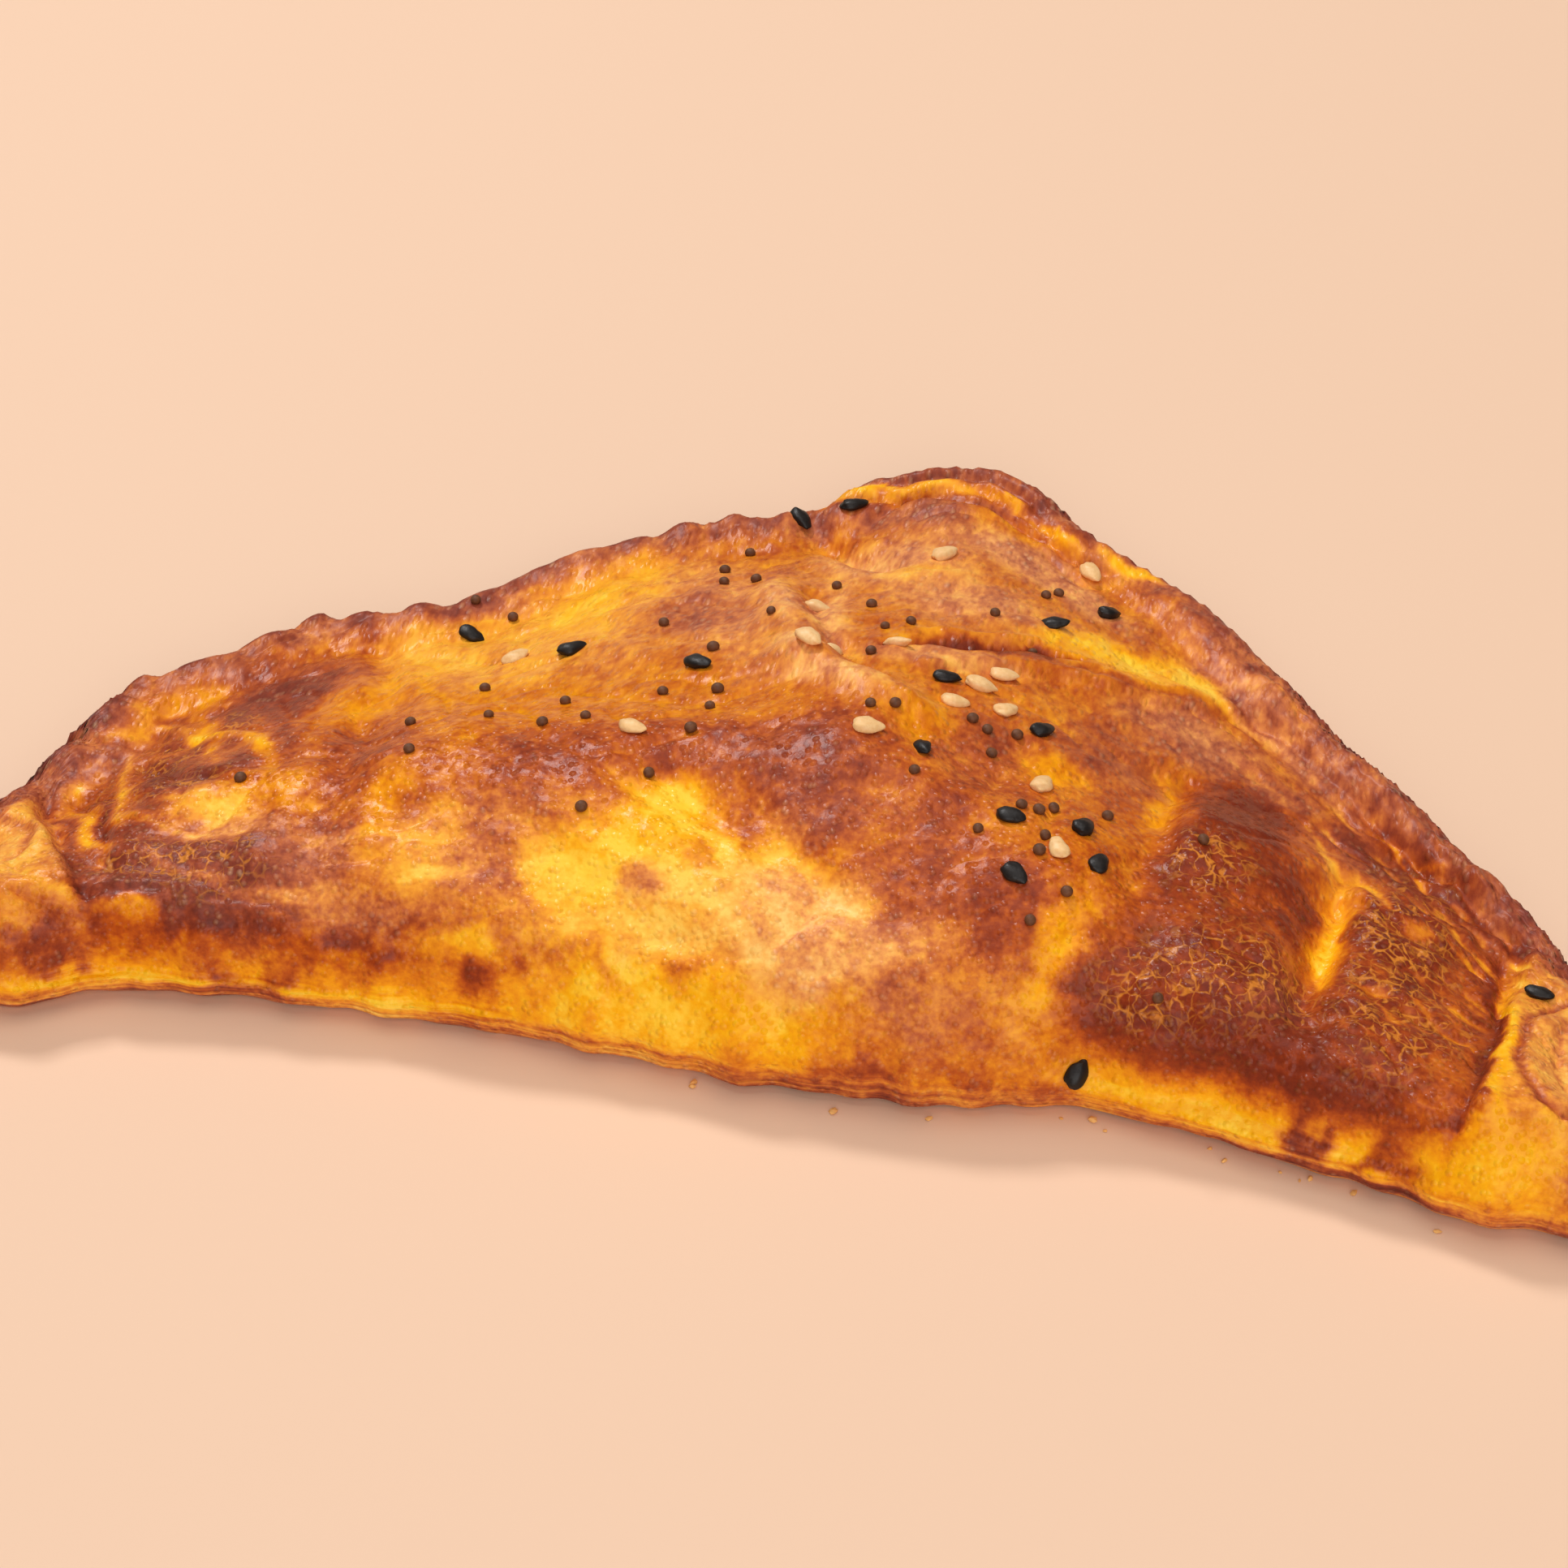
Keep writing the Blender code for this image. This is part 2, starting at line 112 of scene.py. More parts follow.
# Swells and dents in the lid: x, y, reach, height
SWELLS = [
    (5, -17, 9, 1.8), (24, -24, 7, 1.3), (39, -16, 7, 2.4), (56, -20, 7, 2.0), (-13, -22, 9, 1.0),
    (-30, -24, 8, 0.9), (-52, -26, 8, 1.6), (18, -9, 6, 0.8), (-24, 2, 9, 0.8), (6, 41, 7, 2.2),
    (12, 22, 9, 0.9),
]
# Furrows: from x, y to x, y, half width, depth
FURROWS = [
    (-32, -30, -6, -39, 3.4, 1.5), (-9, -24, 6, -34, 3.0, 1.4), (48, -20, 48, -36, 2.6, 2.2),
    (31, -8, 33, -32, 3.2, 1.0), (-38, -12, -38, -36, 3.0, 1.0), (-9, 33, 0, 24, 2.2, 1.3),
    (-44, -31, -50, -33, 3.0, 0.9), (-58, -38, -30, -40, 1.6, 0.7),
]
# Raised folds of the dough, on the same terms
FOLDS = [
    (-8, 14, -2, -4, 3.0, 0.9), (-2, -4, 9, -10, 2.6, 1.1), (28, 27, 60, -9, 2.2, 0.9),
    (60, -9, 68, -15, 2.2, 0.8),
]
# Lifted edge of the top leaf, which steps down towards the front
LEAF_EDGE = [(8, -3), (13, 1), (20, 4.5), (30, 7), (40, 12)]
LEAF_LIFT = 0.9
LEAF_REACH = 7.0
LEAF_TEAR = 0.8
# The front edge wanders in and out by this much, within this reach
EDGE_RAGGEDNESS = 0.7
EDGE_RAGGED_REACH = 2.5
# The mesh: how many faces around, the share of them on top, how many along, and how far both
# crowd together at the edges
AROUND = 250
TOP_SHARE = 0.86
ALONG = 380
CROWDING = 0.5


def smoothstep(low, high, value):
    """0 below low, 1 above high, and a smooth rise between them."""
    t = np.clip((value - low) / (high - low), 0, 1)
    return t * t * (3 - 2 * t)


def edge_curve(points):
    """Closely spaced points along an outline, with its corners rounded."""
    x = np.arange(-HALF, HALF + EDGE_STEP / 2, EDGE_STEP)
    px, py = np.array(points, float).T
    shifts = np.linspace(-CORNER_ROUNDING / 2, CORNER_ROUNDING / 2, 9)
    y = np.mean([np.interp(x + shift, px, py) for shift in shifts], axis=0)
    return np.column_stack([x, y])


def arc_lengths(curve):
    """The distance along a curve to each of its points."""
    steps = np.linalg.norm(np.diff(curve, axis=0), axis=1)
    return np.concatenate([[0], np.cumsum(steps)])


def crimp_wave(travel):
    """The rise and fall of the edge: round crimps with notches between them on the left leg, the
    first ones the widest, and fine wrinkles on the right leg. Both are uneven."""
    drift = np.array([noise.noise(Vector((t / 14, 0.5, 0.5))) for t in travel])
    depth = np.array([0.7 + 1.2 * noise.noise(Vector((t / 12, 7.5, 0.5))) for t in travel])
    right = smoothstep(APEX_TRAVEL - 4, APEX_TRAVEL + 4, travel)
    crimp = travel / np.interp(travel, (0, APEX_TRAVEL), CRIMP_PITCHES) + CRIMP_DRIFT * drift
    crimps = (1 - right) * (2 * np.abs(np.cos(math.pi * crimp)) ** 0.7 - 1)
    wrinkle = travel / WRINKLE_PITCH + CRIMP_DRIFT * drift
    wrinkles = right * WRINKLE_SHARE * np.cos(2 * math.pi * wrinkle)
    return np.clip(depth, 0.2, 1.3) * (crimps + wrinkles)


APEX_TRAVEL = np.interp(
    APEX_X, edge_curve(BACK_EDGE)[:, 0], arc_lengths(edge_curve(BACK_EDGE))
)


def scalloped(curve):
    """The leg's edge pushed in and out by the crimps."""
    push = CRIMP_SCALLOP * crimp_wave(arc_lengths(curve))
    return curve + np.column_stack([np.zeros(len(curve)), push])


def rounded_corners(front, back):
    """Both outlines drawn together at the two side corners."""
    reach = np.clip((np.abs(front[:, 0]) - HALF + CORNER_REACH) / CORNER_REACH, 0, 1)
    middle = (front[:, 1] + back[:, 1]) / 2
    half_width = (back[:, 1] - front[:, 1]) / 2 * np.sqrt(1 - reach ** 2)
    front[:, 1] = middle - half_width
    back[:, 1] = middle + half_width
    return front, back


FRONT, BACK = rounded_corners(edge_curve(FRONT_EDGE), scalloped(edge_curve(BACK_EDGE)))
LEFT_LEG = BACK[BACK[:, 0] < APEX_X]
RIGHT_LEG = BACK[BACK[:, 0] > APEX_X]
MIDDLE_Y = (FRONT[:, 1].min() + BACK[:, 1].max()) / 2


def nearest(curve, x, y):
    """For each place, the distance to a curve and how far along it the nearest point is."""
    tree = KDTree(len(curve))
    for index, (cx, cy) in enumerate(curve):
        tree.insert((cx, cy, 0), index)
    tree.balance()
    travel = arc_lengths(curve)
    found = [tree.find((px, py, 0)) for px, py in zip(x, y)]
    return np.array([f[2] for f in found]), np.array([travel[f[1]] for f in found])


def from_line(x, y, x0, y0, x1, y1):
    """The distance to a straight line between two places, which rounds off beyond its ends."""
    dx, dy = x1 - x0, y1 - y0
    t = np.clip(((x - x0) * dx + (y - y0) * dy) / (dx * dx + dy * dy), 0, 1)
    return np.hypot(x - x0 - t * dx, y - y0 - t * dy)


def leaf_step(x, y):
    """The top leaf's torn edge: full height just behind it, nothing in front, fading backwards."""
    px, py = np.array(LEAF_EDGE, float).T
    behind = y - np.interp(x, px, py)
    ends = smoothstep(px[0] - 2, px[0] + 4, x) * (1 - smoothstep(px[-1] - 4, px[-1] + 4, x))
    torn = smoothstep(-LEAF_TEAR, LEAF_TEAR, behind)
    return LEAF_LIFT * ends * torn * (1 - smoothstep(1, LEAF_REACH, behind))


def beyond_flap_line(x, y, x0, y0, x1, y1):
    """How far a place lies on the corner's side of a flap's line."""
    return ((x1 - x0) * (y - y0) - (y1 - y0) * (x - x0)) / math.hypot(x1 - x0, y1 - y0)


def flaps(x, y, from_front, from_back):
    """The two corners folded back over the top, each a sheet of dough with a curl in it."""
    z = np.zeros(len(x))
    for line in FLAP_LINES:
        z += FLAP_THICKNESS * smoothstep(0, FLAP_STEP, beyond_flap_line(x, y, *line))
    z *= smoothstep(FLAP_INSET - 1.5, FLAP_INSET + 1.5, np.minimum(from_front, from_back))
    for cx, cy, half_width, half_depth in CURLS:
        out = np.hypot((x - cx) / half_width, (y - cy) / half_depth) - 1
        z += CURL_HEIGHT * np.exp(-(out * half_width / CURL_WIDTH) ** 2)
    return z


def ledge_covers(x, from_front):
    """Where the top crust is cut back to the under layer: 1 on the layer and 0 off it."""
    uneven = LEDGE_UNEVENNESS * undulation(x, np.zeros(len(x)))
    covers = []
    for start, stop, width, _ in LEDGES:
        along = smoothstep(start - 5, start + 5, x) * (1 - smoothstep(stop - 5, stop + 5, x))
        inside = from_front - width - uneven
        covers.append(along * (1 - smoothstep(-0.6, 0.6, inside)))
    return covers


def ledges(z, x, from_front):
    """Cuts the top crust back to the under layer where that sticks out."""
    for cut, (_, _, _, height) in zip(ledge_covers(x, from_front), LEDGES):
        z = z + cut * (height - z)
    return z


def cap(x, y, from_back):
    """The back corner, folded over on itself, with the edges of its leaves as ripples."""
    near = np.exp(-(np.hypot(x - APEX_X, y - BACK[:, 1].max()) / CAP_REACH) ** 4)
    ripple = np.cos(2 * math.pi * from_back / CAP_LEAF_PITCH)
    return near * (CAP_HEIGHT + CAP_LEAF_HEIGHT * ripple)


def noise_at(x, y, size, seed):
    """Smooth noise between about -1 and 1 at each place, with bumps of one size."""
    return np.array([noise.noise(Vector((px / size, py / size, seed))) for px, py in zip(x, y)])


def undulation(x, y):
    """The uneven rise of baked dough, coarse and fine."""
    return 0.9 * noise_at(x, y, 13, 3.1) + 0.3 * noise_at(x, y, 4.5, 8.7)


def rise_from_leg(distance):
    """The lid's climb from a crimped rim towards the filling."""
    inland = np.clip((distance - RIM_WIDTH) / RIM_RISE_REACH, 0, 1)
    return DOUGH + (SWELL_HEIGHT - DOUGH) * inland ** 1.1


def blended(*heights):
    """The lowest of several heights, with the creases between them rounded."""
    return sum(height ** -BLEND for height in heights) ** (-1 / BLEND)


def lid_height(x, y):
    """The height of the top crust over the surface that the turnover rests on."""
    from_front, _ = nearest(FRONT, x, y)
    from_left, _ = nearest(LEFT_LEG, x, y)
    from_right, _ = nearest(RIGHT_LEG, x, y)
    from_back, travel = nearest(BACK, x, y)
    climb = 1 - (1 - np.clip(from_front / SWELL_REACH, 0, 1)) ** 2
    fold_side = FRONT_WALL + (SWELL_HEIGHT - FRONT_WALL) * climb
    z = blended(fold_side, rise_from_leg(from_left), rise_from_leg(from_right))
    for sx, sy, reach, height in SWELLS:
        z += height * np.exp(-((x - sx) ** 2 + (y - sy) ** 2) / reach ** 2)
    for x0, y0, x1, y1, half_width, depth in FURROWS:
        z -= depth * np.exp(-(from_line(x, y, x0, y0, x1, y1) / half_width) ** 2)
    for x0, y0, x1, y1, half_width, height in FOLDS:
        z += height * np.exp(-(from_line(x, y, x0, y0, x1, y1) / half_width) ** 2)
    z += CRIMP_HEIGHT * crimp_wave(travel) * np.exp(-(from_back / CRIMP_REACH) ** 4)
    z -= RIM_GROOVE_DEPTH * np.exp(-((from_back - RIM_WIDTH) / RIM_GROOVE_WIDTH) ** 2)
    z += cap(x, y, from_back) + leaf_step(x, y) + flaps(x, y, from_front, from_back)
    z = ledges(z + undulation(x, y), x, from_front)
    shoulder = np.minimum(from_front / FRONT_SHOULDER, from_back / BACK_SHOULDER).clip(0, 1)
    return z, np.sqrt(1 - (1 - shoulder) ** 2), from_front, from_back


# Wrinkles drawn out along each stretch of the dough: the place of their middle, half length and
# half width of the patch, its turn, the length and width of one wrinkle, its height, and how much
# paler the hollows are
WRINKLES = [
    (-8, -32, 24, 11, -27, 12, 2.4, 0.4, 0.08), (57, -14, 17, 11, -52, 3.4, 1.2, 0.6, 0.3),
    (35, 10, 24, 8, -46, 7, 1.7, 0.35, 0.14), (-20, 15, 19, 9, 28, 11, 2.8, 0.25, 0.0),
    (13, 38, 10, 6, -38, 8, 1.7, 0.35, 0.1), (-54, -24, 12, 17, 65, 6, 2.4, 0.35, 0.15),
    (6, 2, 12, 9, -38, 9, 2.4, 0.28, 0.1), (40, -30, 8, 12, -60, 5, 2.0, 0.25, 0.12),
    (-40, 2, 8, 10, 40, 6, 2.4, 0.3, 0.1), (-34, -36, 20, 6, 5, 9, 1.9, 0.3, 0.15),
    (56, -33, 7, 8, -40, 2.6, 1.2, 0.35, 0.28),
]


def oval(cx, cy, half_width, half_depth):
    """The points of a closed oval line."""
    turns = [math.radians(degrees) for degrees in range(0, 361, 30)]
    return [(cx + half_width * math.cos(t), cy + half_depth * math.sin(t)) for t in turns]


# Sharp lines in the dough: their points, half width, height (below 0 for a crease, above 0 for a
# ridge), and what they add to the browning; above 0 along a crease, that is painted shade in its
# gap
LINES = [
    ([(5, 1.5), (9, 4.2), (13, 6.2), (18, 8.2), (22, 9)], 0.55, -0.7, 0.3),
    ([(20, 7), (28, 7.6), (36, 10.5)], 0.9, -0.5, 0.12),
    ([(8, 6), (14, 9), (18, 10.4)], 0.7, 0.6, -0.1),
    ([(-9, 20), (-8, 13), (-5, 5), (-2, -3), (3, -8), (11, -11)], 2.2, 0.8, 0.0),
    ([(-5, 15), (-2, 5), (1, -2), (7, -7)], 0.9, -0.6, 0.1),
    (
        [(-6, 38.8), (-1, 39.4), (4, 39.2), (8, 38.6), (12, 36.8), (16, 34), (21, 31.8)],
        0.6, -0.9, 0.1,
    ),
    ([(-3, 42.4), (3, 43), (9, 42), (13, 39.4)], 0.5, -0.5, 0.0),
    ([(6, 41.4), (11, 38.8), (15, 36)], 0.5, -0.6, 0.0),
    ([(-9, 35), (-6, 31), (-2, 25)], 1.0, -0.7, -0.1),
    ([(-68, -24), (-66, -30), (-61, -37), (-57, -42)], 0.55, -0.8, 0.3),
    ([(-65.5, -24), (-60, -30), (-57.5, -36)], 0.6, -0.5, 0.15),
    ([(63.6, -19), (63.8, -30), (63, -40), (61, -46)], 0.5, -0.6, 0.12),
    ([(-62, -44.2), (-56, -43.4), (-45, -41.7), (-30, -41.2), (-18, -41.6)], 0.45, -0.6, 0.2),
    ([(-60, -42), (-50, -40.6), (-38, -40.2)], 0.5, -0.4, 0.15),
    ([(28, -37.6), (34, -38.2), (42, -39.4), (50, -41.2), (58, -43.4), (62, -45)], 0.45, -0.4, 0.1),
    ([(36, 14), (44, 6), (52, -3), (60, -12), (66, -18)], 0.8, -0.6, 0.1),
    ([(38, 17), (46, 8.5), (54, -1), (62, -11)], 0.7, 0.45, -0.15),
    ([(-14, -25), (-4, -30), (4, -38)], 1.1, -0.5, -0.15),
    ([(-22, -30), (-8, -37), (4, -42)], 1.2, -0.45, -0.15),
    ([(-4, -23), (2, -29), (10, -35)], 1.2, -0.5, -0.15),
    ([(49.5, -15), (49, -25), (47.5, -34)], 1.1, -1.0, -0.1),
    ([(33.5, -6), (33, -14), (34, -21)], 1.3, -0.7, -0.05),
    ([(52, -30), (56, -33), (61, -34)], 0.8, -0.5, 0.0),
    ([(51, -19), (56, -22), (61, -22)], 0.8, -0.5, 0.0),
    ([(28, -34), (24, -40)], 1.0, -0.6, -0.1),
    ([(-45, 4), (-41, -6), (-40, -18)], 1.3, -0.6, -0.05),
    ([(-60, -20), (-54, -25), (-48, -27)], 0.9, -0.5, 0.1),
    ([(-60.5, -12), (-56.5, -15.5), (-50, -18.5), (-47, -21)], 0.6, 0.3, -0.32),
    ([(-62.5, -17), (-61.5, -22), (-59, -27), (-57, -33)], 0.55, 0.2, -0.32),
    ([(-54, -36), (-50, -38.5), (-45, -38.5)], 0.5, 0.2, -0.3),
    ([(-57, -30), (-54, -33), (-50, -34)], 0.5, 0.2, -0.25),
    (oval(70, -34, 4.4, 9), 0.5, -0.6, 0.3), (oval(71, -33, 2.2, 6), 0.4, -0.4, 0.15),
    (oval(-69, -36, 4.2, 5), 0.5, -0.6, 0.3), (oval(-70, -36, 2, 2.6), 0.4, -0.4, 0.2),
]
LINE_WANDER = 0.9
# Puffs of the skin: size, seed and height
PUFFS = [(3.4, 11.0, 0.24), (1.9, 12.0, 0.05)]
PUFF_WANDER = 1.4
# Sharp creases between the puffs
CREASE_PITCH = 8.0
CREASE_DEPTH = 0.35
CREASE_SPREAD = 0.10


def line_covers(x, y):
    """How much each sharp line covers each place, 1 along its middle."""
    moved_x = x + LINE_WANDER * noise_at(x, y, 5.0, 71.0)
    moved_y = y + LINE_WANDER * noise_at(x, y, 5.0, 77.0)
    covers = []
    for points, half_width, *_ in LINES:
        legs = [from_line(moved_x, moved_y, *a, *b) for a, b in zip(points, points[1:])]
        covers.append(np.exp(-(np.min(legs, axis=0) / half_width) ** 2))
    return covers


def wandered(x, y):
    """Places moved about a little, so that what is laid out on them wanders."""
    moved_x = x + PUFF_WANDER * noise_at(x, y, 5.0, 41.0)
    moved_y = y + PUFF_WANDER * noise_at(x, y, 5.0, 57.0)
    return moved_x, moved_y


def wrinkle_waves(x, y):
    """The waves of each patch of wrinkles, between about -1 and 1 and fading towards its rim."""
    moved_x, moved_y = wandered(x, y)
    waves = []
    for cx, cy, half_length, half_width, turn, length, width, *_ in WRINKLES:
        c, s = math.cos(math.radians(turn)), math.sin(math.radians(turn))
        along = (moved_x - cx) * c + (moved_y - cy) * s
        across = (moved_y - cy) * c - (moved_x - cx) * s
        cover = np.exp(-((along / half_length) ** 2 + (across / half_width) ** 2) ** 1.5)
        waves.append(cover * noise_at(along / length, across / width, 1, cx))
    return waves


def skin(x, y, waves):
    """The fine relief of the baked skin: puffs, sharp creases between them, and wrinkles."""
    moved_x, moved_y = wandered(x, y)
    z = sum(height * noise_at(moved_x, moved_y, size, seed) for size, seed, height in PUFFS)
    fold = np.abs(noise_at(moved_x, moved_y, CREASE_PITCH, 15.0)) / CREASE_SPREAD
    z -= CREASE_DEPTH * np.clip(1 - fold, 0, 1) ** 2
    return z + sum(height * wave for (*_, height, _), wave in zip(WRINKLES, waves))


def quarter_round(distance, depth):
    """1 at an edge, falling to 0 at depth inwards, as the under side of a rolled edge does."""
    return 1 - np.sqrt(1 - (1 - np.clip(distance / depth, 0, 1)) ** 2)
